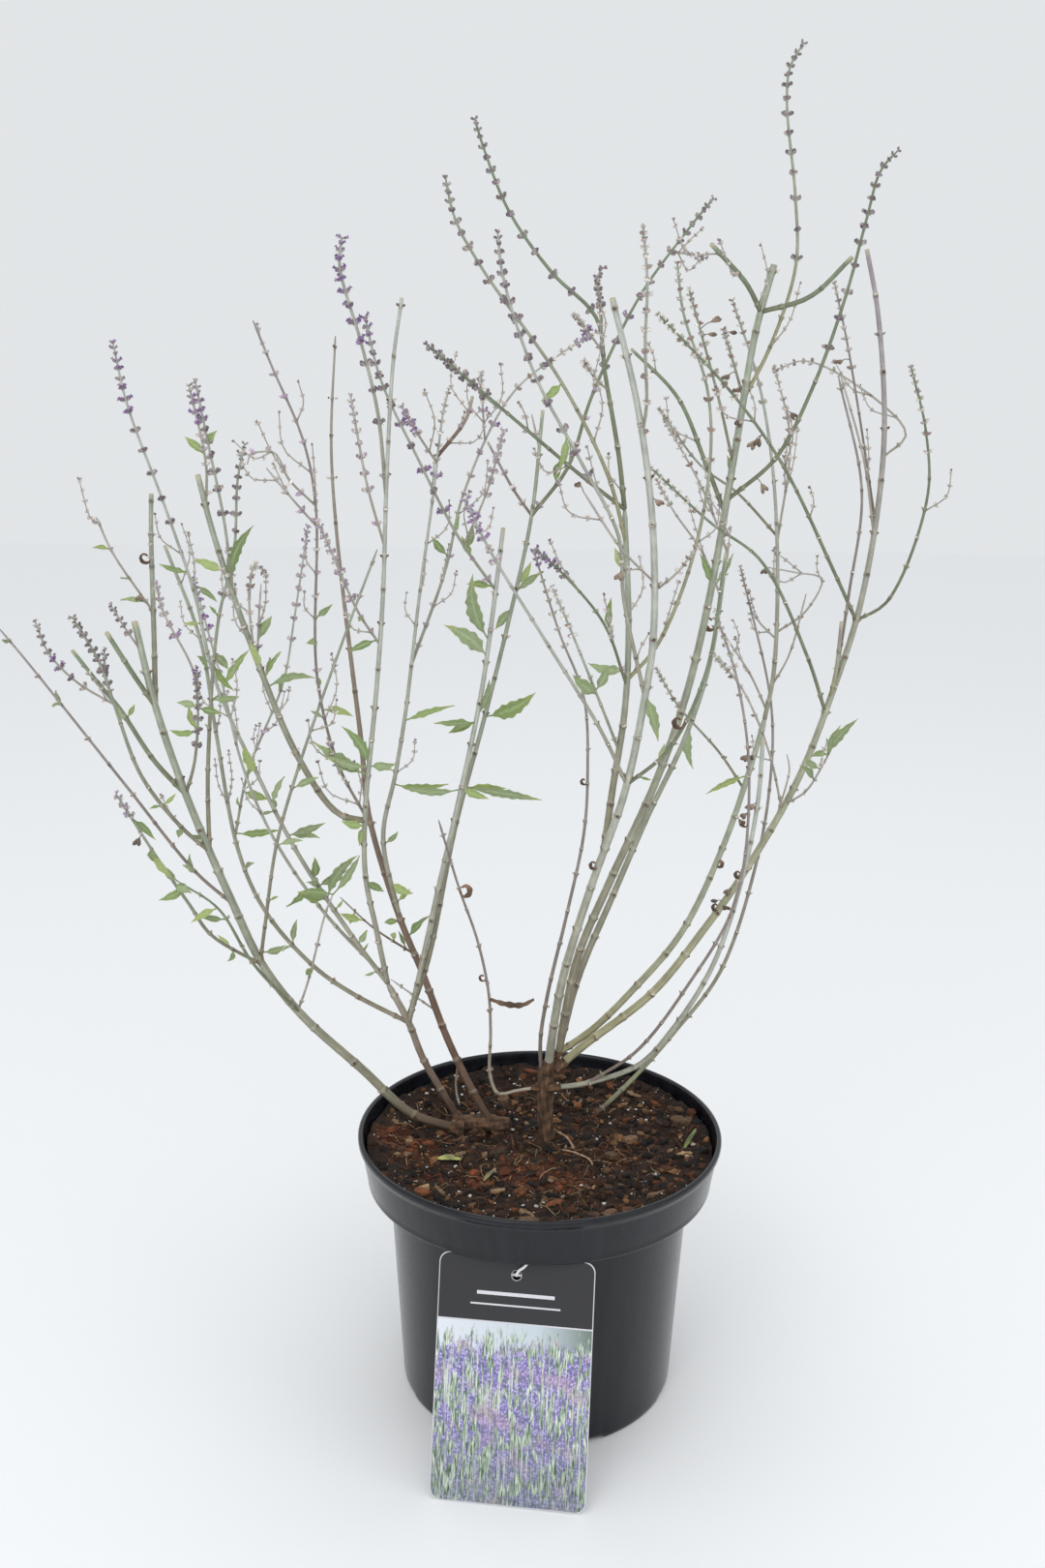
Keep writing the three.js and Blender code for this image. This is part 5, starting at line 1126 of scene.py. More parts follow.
def leaf(piece, foot, tip, width, lean, tint, draws, rows=40, half_sides=3):
    """A wavy, lobed blade with a sunk midrib, folded along it, bent along its length and a little twisted."""
    along = tip - foot
    length = np.linalg.norm(along)
    along = along / length
    up = unit(np.array([0.25 * lean + draws.between(-0.35, 0.35), -1.0, draws.between(0.1, 0.8)]))
    side = unit(np.cross(up, along))
    normal = np.cross(along, side)
    lobes = max(round(length / LOBE_LENGTH), 2)
    depth = 0.08 + 0.14 * smooth(9, 26, length)
    phase, twist = draws.between(0, 1), draws.between(-0.8, 0.8)
    bend, sway = draws.between(-0.22, 0.16), draws.between(-0.1, 0.1)
    fold, worn = draws.between(0.15, 0.6), draws.between(0.1, 0.7)
    vein, yellow, under = np.array(LEAF_VEIN), np.array(LEAF_YELLOW), np.array(LEAF_UNDER)
    shares = np.linspace(-1, 1, 2 * half_sides + 1)
    rings, tints = [], []
    for row in range(rows + 1):
        part = row / rows
        body = math.sin(math.pi * part**0.9) ** 1.1 * smooth(0.02, 0.34, part) if 0 < part < 1 else 0
        turn = twist * part
        rib = side * math.cos(turn) + normal * math.sin(turn)
        top = np.cross(along, rib)
        arc = part * (1 - part) * 4
        bent, swayed = normal * (bend * length * arc * 0.5), side * (sway * length * arc)
        spine = foot + along * (length * part) + bent + swayed
        tired = worn * smooth(0.7, 1.0, part)
        blade, upper_tints = [], []
        for share in shares:
            inward = 1 - abs(share)
            lobe = 0.5 - 0.5 * math.cos(2 * math.pi * (part * lobes + phase + (0.5 if share > 0 else 0)))
            half = max(width * 0.46 * body * (1 - depth * lobe), 0.34 * (1 - part) + 0.08)
            ripple = math.sin(2 * math.pi * (part * lobes * 0.6 + phase) + 2 * share)
            wave = 0.2 * half * ripple * share * share
            ribs = 0.09 * math.sin(2 * math.pi * (part * lobes * 1.5 - abs(share) * 0.5)) * inward
            rise = fold * abs(share * half) + wave - 0.3 * inward**4 + ribs
            blade.append(spine + rib * (share * half) + top * rise)
            shade = tint + (yellow - tint) * (tired + 0.25 * abs(share) ** 6)
            upper_tints.append(shade + (vein - shade) * 0.5 * inward**5)
        skin = top * LEAF_THICKNESS / 2
        rings.append([place + skin for place in blade] + [place - skin for place in blade[::-1]])
        tints.append(upper_tints + [c * 0.45 + under * 0.55 for c in upper_tints[::-1]])
    piece.loft(rings, tints, LEAF)


def small_leaf(piece, foot, heading, out, length, tint, draws):
    """A narrow leaf at a scar."""
    tip = foot + unit(out * draws.between(0.7, 1.1) + heading * draws.between(0.1, 0.9)) * length
    leaf(piece, foot, tip, length * draws.between(0.24, 0.36), out[0], tint, draws, rows=14, half_sides=2)


def ribbon(piece, points, width, thickness, tint, kind, ragged):
    """A dry blade rolled or bent along points."""
    run = Run(points)
    middle, first, second, _ = run.frames(np.linspace(0, run.length, RIBBON_ROWS))
    shares = (-1, -0.5, 0, 0.5, 1)
    round_blade = [(share, thickness) for share in shares] + [(share, -thickness) for share in shares[::-1]]
    rings, tints = [], []
    for i in range(RIBBON_ROWS):
        part = i / (RIBBON_ROWS - 1)
        half = width * (0.3 + 0.7 * math.sin(math.pi * part)) * (1 + ragged * math.sin(part * 31))
        cross = []
        for share, lift in round_blade:
            bow = 0.22 * width * (share * share - 0.3)
            cross.append(middle[i] + second[i] * half * share + first[i] * (bow + lift))
        rings.append(cross)
        shade = np.array(tint) * (1 + 0.2 * math.sin(part * 9))
        tints.append([shade] * len(shares) + [shade * 0.75] * len(shares))
    piece.loft(rings, tints, kind)


CURL_TURN = 1.75 * math.pi
CURL_STEPS = 10


def curl(piece, seat, diameter, sideways):
    """A dried leaf rolled up, its mouth turned a little upwards and to one side."""
    radius = diameter / 2
    across = unit(np.array([sideways * 0.9, -0.36, 0.15]))
    other = unit(np.array([0.0, 0.35, 1.0]))
    axis = np.cross(across, other)
    points = []
    for i in range(CURL_STEPS + 1):
        turn = CURL_TURN * i / CURL_STEPS
        shrink = radius * (1 - 0.4 * i / CURL_STEPS)
        beside = seat + across * (radius - shrink * math.cos(turn))
        points.append(beside - other * shrink * math.sin(turn) + axis * i * 0.1)
    ribbon(piece, points, 0.5 + 0.17 * diameter, 0.25, DEAD_BROWN, DRY, ragged=0.12)


# The canes.

UP = np.array([0, 0, 1.0])
FIRST_SEED, SEED_STEP = 101, 37
# Heights at which side twigs, wool and small leaves are seen, and how far up earth clings to most canes.
LOWEST_TWIG = 300
LOWEST_WOOL = 320
SMALL_LEAF_HEIGHTS = (215, 450)
EARTH_REACH = 9
WOOLLY_TWIGS = 0.2
WOOLLY_RADIUS = 0.95
TIP_REACH = 4
LONGEST_STALK = 7


def cane_tone(cane, branch, foot_radius):
    """A branch's own tone, the twigs' tone for a thin one, or the cane's."""
    for tone, branches in cane.get("tones", {}).items():
        if branch in branches.split():
            return tone
    return "twig" if foot_radius < TWIG_RADIUS else cane["tone"]


def nearest_stem(seen):
    """The cane and the place on it that are seen nearest to [x, z]."""
    found = []
    for node, grown in GROWN.items():
        for run in grown.values():
            at, away = nearest(run, seen)
            found.append((away, node, run, at))
    _, node, run, at = min(found, key=lambda one: one[0])
    return node, run.dense[at]


def twiglet(piece, foot, heading, out, draws):
    """A short side twig with dried scales along it and a few calyces at its end."""
    length = draws.between(12, 34)
    halfway = foot + unit(heading * draws.between(0.7, 1.2) + out * 0.7) * length * 0.5
    run = Run([foot, halfway, halfway + unit(heading + UP * 0.6) * length * 0.5])
    tint = draws.shade(STEMS["twig"][1], 0.95, 1.05)
    tube(piece, run, np.linspace(0, run.length, 8), np.linspace(0.42, 0.26, 8), tint, 5)
    for place, ahead, outward in run.pairs(np.arange(5, run.length, draws.between(4.5, 7))):
        tuft(piece, place, ahead, outward, draws.between(1.2, 2.0), draws.pick(TUFTS[:2]), draws)
        wool(piece, place, outward, ahead, 0.5, 2, draws)
    end = run.at(run.length)
    wool(piece, end, ahead, outward, 0.6, 5, draws)
    for _ in range(3):
        spray = ahead + np.array([draws.between(-0.7, 0.7) for _ in range(3)])
        calyx(piece, end, spray, draws.between(0.35, 0.55), draws.pick(CALYX))


def dress_nodes(piece, run, nodes, radius, draws, twigs, small_leaves, woolly):
    """Buds on a thick stem; dried scales, small leaves and twigs on a thin one."""
    if not len(nodes):
        return
    for middle, heading, out in run.pairs(nodes, draws, 0.25):
        foot = middle + out * radius * 0.8
        if radius >= THICK_STEM:
            bud(piece, foot, heading, out, draws.between(0.6, 1.05), draws)
            if draws.next() < 0.2:
                tuft(piece, foot, heading, out, draws.between(1.4, 2.2), TUFTS[0], draws, kind=DRY)
            continue
        choice = draws.next()
        if choice < twigs and middle[2] > LOWEST_TWIG:
            twiglet(piece, foot, heading, out, draws)
        elif choice < twigs + small_leaves and SMALL_LEAF_HEIGHTS[0] < middle[2] < SMALL_LEAF_HEIGHTS[1]:
            tint = draws.shade(draws.pick(LEAF_GREENS), 0.95, 1.1)
            small_leaf(piece, foot, heading, out, draws.between(5, 14), tint, draws)
        elif woolly and middle[2] > LOWEST_WOOL:
            tuft(piece, foot, heading, out, draws.between(1.5, 2.6), draws.pick(PALE_CALYX), draws, 3)
            wool(piece, foot, out, heading, 0.7, 4, draws)
        elif draws.next() < 0.8:
            tuft(piece, foot, heading, out, draws.between(0.9, 1.7), draws.pick(TUFTS), draws)


def husk(piece, seat, seen, draws):
    """A shrivelled brown husk hanging by a short stalk."""
    reach = place_at_depth(seen, seat[1] - 1.5) - seat
    if np.linalg.norm(reach) > LONGEST_STALK:
        reach = unit(reach) * LONGEST_STALK
    direction = unit(reach + np.array([0, -0.5, -1.5]))
    tint = draws.shade(HUSK_TAN, 0.85, 1.25)
    tints = [tint, tint * 1.2, tint, tint * 0.7]
    run = Run([seat, seat + reach * 0.6 + UP * 0.6, seat + reach])
    tube(piece, run, np.linspace(0, run.length, 5), 0.24, tint, 5)
    for lean in (-0.35, 0.35):
        tip = direction + np.array([lean, draws.between(-0.3, 0.3), 0])
        length = draws.between(3.6, 5.2)
        cone(piece, seat + reach, tip, length, (0.3, 0.8, 1.05, 0.35), (0, 0.3, 0.75, 1), tints, DRY)


def goes_on(grown, cane, name):
    """Whether another branch springs from this one's tip."""
    end = grown[name].dense[-1]
    return any(parent == name and np.linalg.norm(grown[other].dense[0] - end) < TIP_REACH
               for other, parent, *_ in cane["branches"])


def branches(piece, whorls, cane, grown, draws):
    """Every branch of a cane with what stands at its nodes and the whorls of its spike."""
    twigs = cane.get("twigs", 0)
    full, pale = cane.get("full", "").split(), cane.get("pale", "").split()
    for name, parent, _, foot_radius, tip_radius, spike, _ in cane["branches"]:
        run = grown[name]
        cut = tip_radius >= CUT_RADIUS and not spike and not goes_on(grown, cane, name)
        earth = 0 if parent else cane.get("earth", EARTH_REACH)
        tone = cane_tone(cane, name, foot_radius)
        woolly = twigs > WOOLLY_TWIGS and foot_radius < WOOLLY_RADIUS
        nodes = stem(piece, run, foot_radius, tip_radius, spike, tone, draws, cut, woolly, earth)
        if spike:
            tints = PALE_CALYX if name in pale else CALYX if name in full else FAINT_CALYX
            flower_spike(whorls, run, spike, tip_radius, draws, name in full, tints)
        dress_nodes(piece, run, nodes, foot_radius, draws, twigs, cane.get("small_leaves", 0), woolly)


def leaves(piece, cane, grown, draws):
    """A cane's own leaves, and the small ones that are seen nearest to it."""
    for branch, foot, tip, width, lean in cane.get("leaves", ()):
        seat = seat_on(grown[branch], foot)
        tint = draws.shade(draws.pick(LEAF_GREENS), 0.95, 1.08)
        leaf(piece, seat, place_at_depth(tip, seat[1] + lean), width, lean / 10, tint, draws)
    for foot, tip, width in SMALL_LEAVES:
        owner, seat = nearest_stem(foot)
        if owner == cane["node"]:
            tint = draws.shade(draws.pick(LEAF_GREENS), 0.95, 1.08)
            lean = draws.between(-6, 6)
            leaf(piece, seat, place_at_depth(tip, seat[1] + lean), width, lean / 10, tint, draws, 22, 2)


def dead_leaf(piece, run):
    """The long dead leaf that hangs from the dead cane."""
    depth = seat_on(run, DEAD_LEAF[0])[1]
    ribbon(piece, [place_at_depth(p, depth) for p in DEAD_LEAF], 3.4, 0.2, DEAD_BROWN, DRY, ragged=0.2)


for index, cane in enumerate(CANES):
    draws = Draws(FIRST_SEED + SEED_STEP * index)
    node = cane["node"]
    grown = GROWN[node]
    piece, whorls = Piece(node + "_fine"), Piece(node + "_whorls")
    branches(piece, whorls, cane, grown, draws)
    leaves(piece, cane, grown, draws)
    for seen in HUSKS:
        owner, seat = nearest_stem(seen)
        if owner == node:
            husk(piece, seat, seen, draws)
    for branch, seen, diameter, sideways in cane.get("curls", ()):
        curl(piece, seat_on(grown[branch], seen), diameter, sideways)
    if node == "cane_dead":
        dead_leaf(piece, grown["main"])
    piece.make(PLANT, cane["slot"], [node])
    if whorls.count:
        whorls.make(PLANT, cane["slot"])


# The woody crowns.

CROWN_STEP = 0.8
CROWN_SIDES = 28
CROWN_ROUGHNESS = 0.12
COLLAR_REACHES = (0.0, 2.5, 5.0, 8.0)
COLLAR_SWELL = (1.3, 1.5, 0.9, 0.15)


def collar(cane):
    """Bark round the foot of a cane, as [x, y, z, radius]."""
    name, _, _, foot_radius, *_ = cane["branches"][0]
    places = GROWN[cane["node"]][name].at(np.array(COLLAR_REACHES))
    return [[*place, foot_radius + swell] for place, swell in zip(places, COLLAR_SWELL)]


def crown(side, runs, seed):
    """Knobbly bark, with a collar of it round the foot of each cane that springs from it."""
    piece = Piece("crown_%s_fine" % side)
    for points in [*runs, *(collar(cane) for cane in CANES if cane.get("crown") == side)]:
        run = Run([p[:3] for p in points])
        distances = np.arange(0, run.length, CROWN_STEP)
        radii = np.interp(distances / run.length, np.linspace(0, 1, len(points)), [p[3] for p in points])
        middle, first, second, _ = run.frames(distances)
        d, a = distances[:, None], turns(CROWN_SIDES)[None]
        bumps = (
            0.5 * np.sin(3 * a + 0.23 * d + seed)
            + 0.35 * np.sin(7 * a - 0.31 * d + 2 * seed)
            + 0.3 * np.sin(0.9 * d + 2 * a)
            + 0.25 * np.sin(13 * a + 0.12 * d)
        )
        reach = radii[:, None] * (1 + CROWN_ROUGHNESS * bumps)
        rings = middle[:, None] + reach[..., None] * (
            first[:, None] * np.cos(a)[..., None] + second[:, None] * np.sin(a)[..., None]
        )
        # The bark's tint follows the same bumps as its shape: darker in the hollows and lighter on the knobs,
        # which is painted shade and painted light.
        shade = 1 + 0.35 * bumps
        piece.loft(rings, np.array(CROWN_BROWN) * shade[..., None])
    piece.make([BARK], "bark", ["crown_" + side])


crown("left", [CROWN_LEFT, CROWN_LEFT_ROOT], 1.0)
crown("right", [CROWN_RIGHT], 2.0)


# The soil.

CRUMB_SEED, FIBRE_SEED, CHIP_SEED = 4177, 9203, 6151
SOIL_ROWS = 84
SOIL_SIDES = 260
CRUMB_COUNT = 4400
ORANGE_REACH = 0.45
ORANGE_CRUMBS = 0.7
PERLITE_COUNT = 560
FIBRE_COUNT = 900
CHIP_COUNT = 170
CHIP_ROWS = 7
LARGE_CHIP = 2.4
STONE_SUNK = 0.35
STONE_FLATNESS = 0.75


def hashed(ix, iy, seed):
    """A fixed draw in 0..1 for each crossing of a lattice."""
    h = (ix.astype(np.int64) * 374761393 + iy.astype(np.int64) * 668265263 + seed * 974634777) & 0x7FFFFFFF
    h = ((h ^ (h >> 13)) * 1274126177) & 0x7FFFFFFF
    return ((h ^ (h >> 16)) & 0xFFFF) / 65535.0


def lattice(x, y, size, seed):
    """Smooth noise with bumps of a size."""
    gx, gy = x / size, y / size
    ix, iy = np.floor(gx), np.floor(gy)
    fx, fy = smooth(0, 1, gx - ix), smooth(0, 1, gy - iy)
    a, b = hashed(ix, iy, seed), hashed(ix + 1, iy, seed)
    c, d = hashed(ix, iy + 1, seed), hashed(ix + 1, iy + 1, seed)
    return (a + (b - a) * fx) * (1 - fy) + (c + (d - c) * fx) * fy


def soil_height(x, y):
    """The soil's top: a bank at the rim, a dish round the left crown, bumps and grit."""
    x, y = np.asarray(x, float), np.asarray(y, float)
    bumps = 0.9 * np.sin(x * 0.19 + 1.3) * np.cos(y * 0.23) + 0.7 * np.sin(x * 0.47 - y * 0.41)
    away = np.hypot(x - DISH[0], y - DISH[1])
    dish = DISH[2] * np.exp(-((away / DISH[3]) ** 2))
    grit = 0
    for seed, (size, height) in enumerate([(7.0, 2.0), (3.1, 1.5), (1.4, 0.9)], start=1):
        grit = grit + height * (lattice(x, y, size, seed) - 0.5)
    bank = SOIL_BANK[0] * smooth(SOIL_BANK[1], SOIL_BANK[2], np.hypot(x, y))
    return SOIL_TOP - dish + 0.8 * bumps + grit + bank


def on_top(x, y, rise):
    """A place that much over the soil."""
    return np.array([x, y, float(soil_height(x, y)) + rise])


def orange_share(x, y):
    """How far a place lies in an orange patch, 0 to 1."""
    share = np.zeros_like(np.asarray(x, float))
    for px, py, reach in ORANGE_PATCHES:
        share = np.maximum(share, np.exp(-(((x - px) ** 2 + (y - py) ** 2) / reach**2)))
    return share


def soil_tints(x, y):
    dark, brown, orange = (np.array(tint) for tint in SOIL_TINTS)
    tint = dark + (brown - dark) * lattice(x, y, 5.0, 5)[..., None]
    share = (orange_share(x, y) * (0.4 + 0.9 * lattice(x, y, 2.4, 6)))[..., None]
    return tint + (orange - tint) * np.clip(share, 0, 0.75)


def soil_body():
    """The filled body of peat: plain inside the pot, rough on top."""
    inset = 2.2
    base, body, band = POT_BASE_RADIUS - inset, POT_BODY_TOP_RADIUS - inset, POT_BAND_RADIUS - inset
    low, shelf = POT_FLOOR + GAP, POT_SHELF + inset
    hidden = [(4.0, low), (base, low), (body, POT_SHELF - 2), (body, shelf), (band, shelf)]
    rings = [level_ring(radius, z, SOIL_SIDES) for radius, z in hidden]
    tints = [np.broadcast_to(SOIL_HIDDEN, (SOIL_SIDES, 3)) for _ in hidden]
    for radius in (SOIL_EDGE * np.linspace(0.004, 1, SOIL_ROWS) ** 0.8)[::-1]:
        ring = level_ring(radius, 0, SOIL_SIDES)
        x, y = ring[:, 0], ring[:, 1]
        rings.append(np.stack([x, y, soil_height(x, y)], axis=-1))
        tints.append(soil_tints(x, y))
    piece = Piece("soil_body")
    piece.loft(rings, tints)
    piece.make([PEAT], "peat", ["soil"])


def rounded_stone():
    """Corners and faces of an octahedron with each edge split once."""
    corners = list(np.array([(1, 0, 0), (0, 1, 0), (-1, 0, 0), (0, -1, 0), (0, 0, 1), (0, 0, -1)], float))
    halves = {}
    faces = []

    def half(a, b):
        key = (min(a, b), max(a, b))
        if key not in halves:
            corners.append(unit(corners[a] + corners[b]))
            halves[key] = len(corners) - 1
        return halves[key]

    for a, b, c in [(0, 1, 4), (1, 2, 4), (2, 3, 4), (3, 0, 4), (1, 0, 5), (2, 1, 5), (3, 2, 5), (0, 3, 5)]:
        ab, bc, ca = half(a, b), half(b, c), half(c, a)
        faces += [(a, ab, ca), (ab, b, bc), (ca, bc, c), (ab, bc, ca)]
    return np.array(corners), faces


STONE, STONE_FACES = rounded_stone()


def stone(piece, x, y, size, tint, draws):
    """A crumb sunk into the soil."""
    turn = draws.between(0, 2 * math.pi)
    long, wide = draws.between(0.7, 1.3), draws.between(0.6, 1.1)
    scale = np.array([long, wide, draws.between(0.5, 1.0) * STONE_FLATNESS]) * size
    jitter = np.array([draws.between(0.7, 1.25) for _ in range(len(STONE))])
    shape = STONE * jitter[:, None] * scale
    c, s = math.cos(turn), math.sin(turn)
    shape = shape @ np.array([[c, s, 0], [-s, c, 0], [0, 0, 1]])
    piece.add(shape + on_top(x, y, scale[2] * (1 - 2 * STONE_SUNK)), STONE_FACES, tint)


def on_soil(draws, margin=2.5):
    """A drawn place on the soil, away from its edge by a margin."""
    radius = (SOIL_EDGE - margin) * math.sqrt(draws.next())
    angle = draws.between(0, 2 * math.pi)
    return radius * math.cos(angle), radius * math.sin(angle)


def soil_crumbs():
    """Crumbs of peat, more of them orange in the orange patches, and white grains of perlite."""
    draws = Draws(CRUMB_SEED)
    piece = Piece("soil_crumbs")
    for _ in range(CRUMB_COUNT):
        x, y = on_soil(draws)
        size = 0.4 + 2.6 * draws.next() ** 5
        tint = draws.shade(draws.pick(CRUMB_TINTS), 0.8, 1.2)
        if orange_share(x, y) > ORANGE_REACH and draws.next() < ORANGE_CRUMBS:
            tint = draws.shade(ORANGE_CRUMB, 0.7, 1.2)
        stone(piece, x, y, size, tint, draws)
    piece.make([GRAIN], "peat", flat=True)
    grains = Piece("soil_perlite")
    for _ in range(PERLITE_COUNT):
        x, y = on_soil(draws)
        size = 0.28 + 1.1 * draws.next() ** 4
        stone(grains, x, y, size, draws.shade(PERLITE_TINT, 0.9, 1.05), draws)
    grains.make([GRAIN], "peat", flat=True)


def soil_fibres():
    """Thin bent fibres that lie on the soil, and a few rootlets."""
    draws = Draws(FIBRE_SEED)
    piece = Piece("soil_fibres")
    steps = 4
    for i in range(FIBRE_COUNT):
        x, y = on_soil(draws, 10)
        if i % 3 == 0:
            patch_x, patch_y, reach = draws.pick(ORANGE_PATCHES)
            x, y = patch_x + draws.between(-reach, reach), patch_y + draws.between(-reach, reach)
        length = 3 + 16 * draws.next() ** 2
        turn, bend = draws.between(0, 2 * math.pi), draws.between(-0.12, 0.12)
        points = []
        for _ in range(steps + 1):
            points.append((x, y))
            x, y = x + math.cos(turn) * length / steps, y + math.sin(turn) * length / steps
            turn += bend * length / steps
        if max(math.hypot(*point) for point in points) > SOIL_EDGE - 2:
            continue
        arch = draws.between(0.1, 1.6)
        lifts = [arch * math.sin(math.pi * k / steps) for k in range(steps + 1)]
        run = Run([on_top(*point, 0.3) + UP * lift for point, lift in zip(points, lifts)])
        radii = draws.between(0.12, 0.34) * np.array([0.4, 1, 1, 1, 1, 1, 0.4])
        tint = draws.shade(draws.pick(FIBRE_TINTS), 0.85, 1.15)
        tube(piece, run, np.linspace(0, run.length, len(radii)), radii, tint, 4)
    for places in ROOTLETS:
        run = Run(places)
        distances = np.linspace(0, run.length, 40)
        tube(piece, run, distances, 0.5 + 0.1 * np.sin(distances * 1.3), ROOTLET_TINT, 7)
    piece.make([GRAIN], "peat")


def soil_chips():
    """Bits of bark: flat lofts with ragged outlines."""
    draws = Draws(CHIP_SEED)
    piece = Piece("soil_chips")
    chips = [(x, y, math.radians(angle), length, width, LARGE_CHIP) for x, y, angle, length, width in CHIPS]
    for _ in range(CHIP_COUNT):
        x, y = on_soil(draws, 7)
        length = 3 + 7 * draws.next() ** 2
        turn, width = draws.between(0, math.pi), length * draws.between(0.3, 0.7)
        chips.append((x, y, turn, length, width, draws.between(0.7, 1.5)))
    for i, (x, y, turn, length, width, thick) in enumerate(chips):
        tint = draws.pick(PALE_CHIPS if i < len(CHIPS) else CHIP_TINTS)
        along = np.array([math.cos(turn), math.sin(turn), draws.between(-0.25, 0.25)])
        side = np.array([-math.sin(turn), math.cos(turn), draws.between(-0.2, 0.2)])
        up = UP * (thick / 2)
        rings = []
        for k in range(CHIP_ROWS):
            part = k / (CHIP_ROWS - 1) - 0.5
            half = width / 2 * (1 - (2 * part) ** 4 * 0.6) * draws.between(0.8, 1.1)
            lift = draws.between(-0.15, 0.15)
            centre = on_top(x, y, thick * 0.2) + UP * lift + along * part * length
            edge = side * half
            low = [centre - edge - up, centre + edge - up]
            rings.append([*low, centre + edge * 0.9 + up, centre + up * 1.25, centre - edge * 0.9 + up])
        piece.loft(rings, draws.shade(tint, 0.85, 1.15))
    piece.make([BARK], "peat", flat=True)


soil_body()
soil_crumbs()
soil_fibres()
soil_chips()


# Fallen leaves.

for name, x, y, degrees, length, width, tint, rise in FALLEN_LEAVES:
    turn = math.radians(degrees)
    half_x, half_y = math.cos(turn) * length / 2, math.sin(turn) * length / 2
    foot = on_top(x - half_x, y - half_y, 0.8)
    tip = on_top(x + half_x, y + half_y, 1.2) + UP * rise
    piece = Piece(name + "_fine")
    ribbon(piece, [foot, (foot + tip) / 2 + UP, tip], width * 0.5, 0.2, tint, 0, ragged=0.08)
    piece.make([PLANT[LEAF]], "leaf", [name])


# The pot.

POT_SIDES = 256


def notched(rings):
    """Lifts the foot's edge over each drainage notch."""
    half = POT_NOTCH_WIDTH / 2 / POT_BASE_RADIUS
    soft = 0.02
    step = 2 * math.pi / POT_NOTCHES
    off = np.abs(turns(POT_SIDES) % step - step / 2)
    cut = 1 - smooth(half - soft, half + soft, off)
    for row in range(3, 8):
        rings[row, :, 2] = np.maximum(rings[row, :, 2], cut * POT_NOTCH_HEIGHT * (1 - 0.02 * row))


def pot():
    """The moulded pot. Its profile runs from under the floor up, over the lip and down inside."""
    base, top, band = POT_BASE_RADIUS, POT_BODY_TOP_RADIUS, POT_BAND_RADIUS
    lip, shelf = POT_LIP_RADIUS, POT_SHELF
    foot, foot_top = POT_FOOT_SLOPE
    under = POT_HEIGHT - POT_LIP_HEIGHT
    inner = lip - POT_WALL
    profile = [
        (0.5, 0.0), (40, 0.0), (base - 7, 0.0), (base - 6.6, 0.0), (base - 1, 0.0),
        (base, 0.3), (base + 0.6, 1.2), (base + 0.8, 2.4), (foot, foot_top),
    ]
    for k in range(1, 30):
        part = k / 30
        profile.append((foot + (top - foot) * part, foot_top + (shelf - 1.2 - foot_top) * part))
    profile += [
        (top + 0.1, shelf - 0.7), (top + 0.6, shelf - 0.1), (top + 1.2, shelf), (band - 0.6, shelf),
        (band - 0.1, shelf + 0.3), (band + 0.1, shelf + 0.9), (band + 0.2, shelf + 1.6),
        (band + 0.15, shelf + 2.2),
    ]
    for k in range(1, 8):
        part = k / 8
        radius = band + 0.15 + (lip - POT_LIP_STEP - band - 0.15) * part
        profile.append((radius, shelf + 2.2 + (under - shelf - 2.2) * part))
    profile += [
        (lip - POT_LIP_STEP, under - 0.1), (lip - 0.7, under + 0.3), (lip - 0.1, under + 1.0),
        (lip, under + 1.8), (lip, POT_HEIGHT - 1.2), (lip - 0.3, POT_HEIGHT - 0.4),
        (lip - 0.9, POT_HEIGHT), (inner - 0.4, POT_HEIGHT), (inner - 0.9, POT_HEIGHT - 0.4),
        (inner - 1.2, POT_HEIGHT - 1.2), (inner - POT_LIP_STEP, under),
        (band - POT_WALL, shelf + POT_WALL), (top - POT_WALL, shelf + POT_WALL), (foot - POT_WALL, foot_top),
        (base - POT_WALL, POT_FLOOR), (0.5, POT_FLOOR),
    ]
    rings = np.array([level_ring(radius, z, POT_SIDES) for radius, z in profile])
    notched(rings)
    piece = Piece("pot_smooth")
    piece.loft(rings, POT_TINT)
    piece.make([pot_plastic()], "pot", ["pot"])


pot()


# The card and its strand.

CARD_FOOT = np.array(CARD_BOTTOM)
CARD_UP = unit(np.array(CARD_TOP) - CARD_FOOT)
CARD_HEIGHT = float(np.linalg.norm(np.array(CARD_TOP) - CARD_FOOT))
CARD_RIGHT = np.array([math.cos(CARD_YAW), -math.sin(CARD_YAW), 0])
CARD_RIGHT = unit(CARD_RIGHT - CARD_UP * CARD_RIGHT.dot(CARD_UP))
CARD_OUT = np.cross(CARD_RIGHT, CARD_UP)
CARD_HALF = CARD_WIDTH / 2
HOLE_UP = CARD_HEIGHT - CARD_HOLE_DROP
HEADER_UP = CARD_HEIGHT * (1 - CARD_HEADER)
PRINT_INSET = 0.3
KNOT_RADIUS = 2.1
CORNER_STEPS = 8
HOLE_SIDES = 28
PRINT_DEPTH = CARD_THICKNESS / 2 + 0.04


def on_card(right, up, out):
    return CARD_FOOT + CARD_RIGHT * right + CARD_UP * up + CARD_OUT * out


def rounded_outline():
    """The card's outline, with its corners rounded."""
    side, top = CARD_HALF - CARD_CORNER, CARD_HEIGHT - CARD_CORNER
    points = []
    corners = [(side, CARD_CORNER, -90), (side, top, 0), (-side, top, 90), (-side, CARD_CORNER, 180)]
    for x, y, start in corners:
        for k in range(CORNER_STEPS + 1):
            turn = math.radians(start + 90 * k / CORNER_STEPS)
            points.append((x + CARD_CORNER * math.cos(turn), y + CARD_CORNER * math.sin(turn)))
    return points


def round_hole(radius):
    """The outline of the strand's hole."""
    angles = [2 * math.pi * k / HOLE_SIDES for k in range(HOLE_SIDES)]
    return [(radius * math.cos(angle), HOLE_UP + radius * math.sin(angle)) for angle in angles]


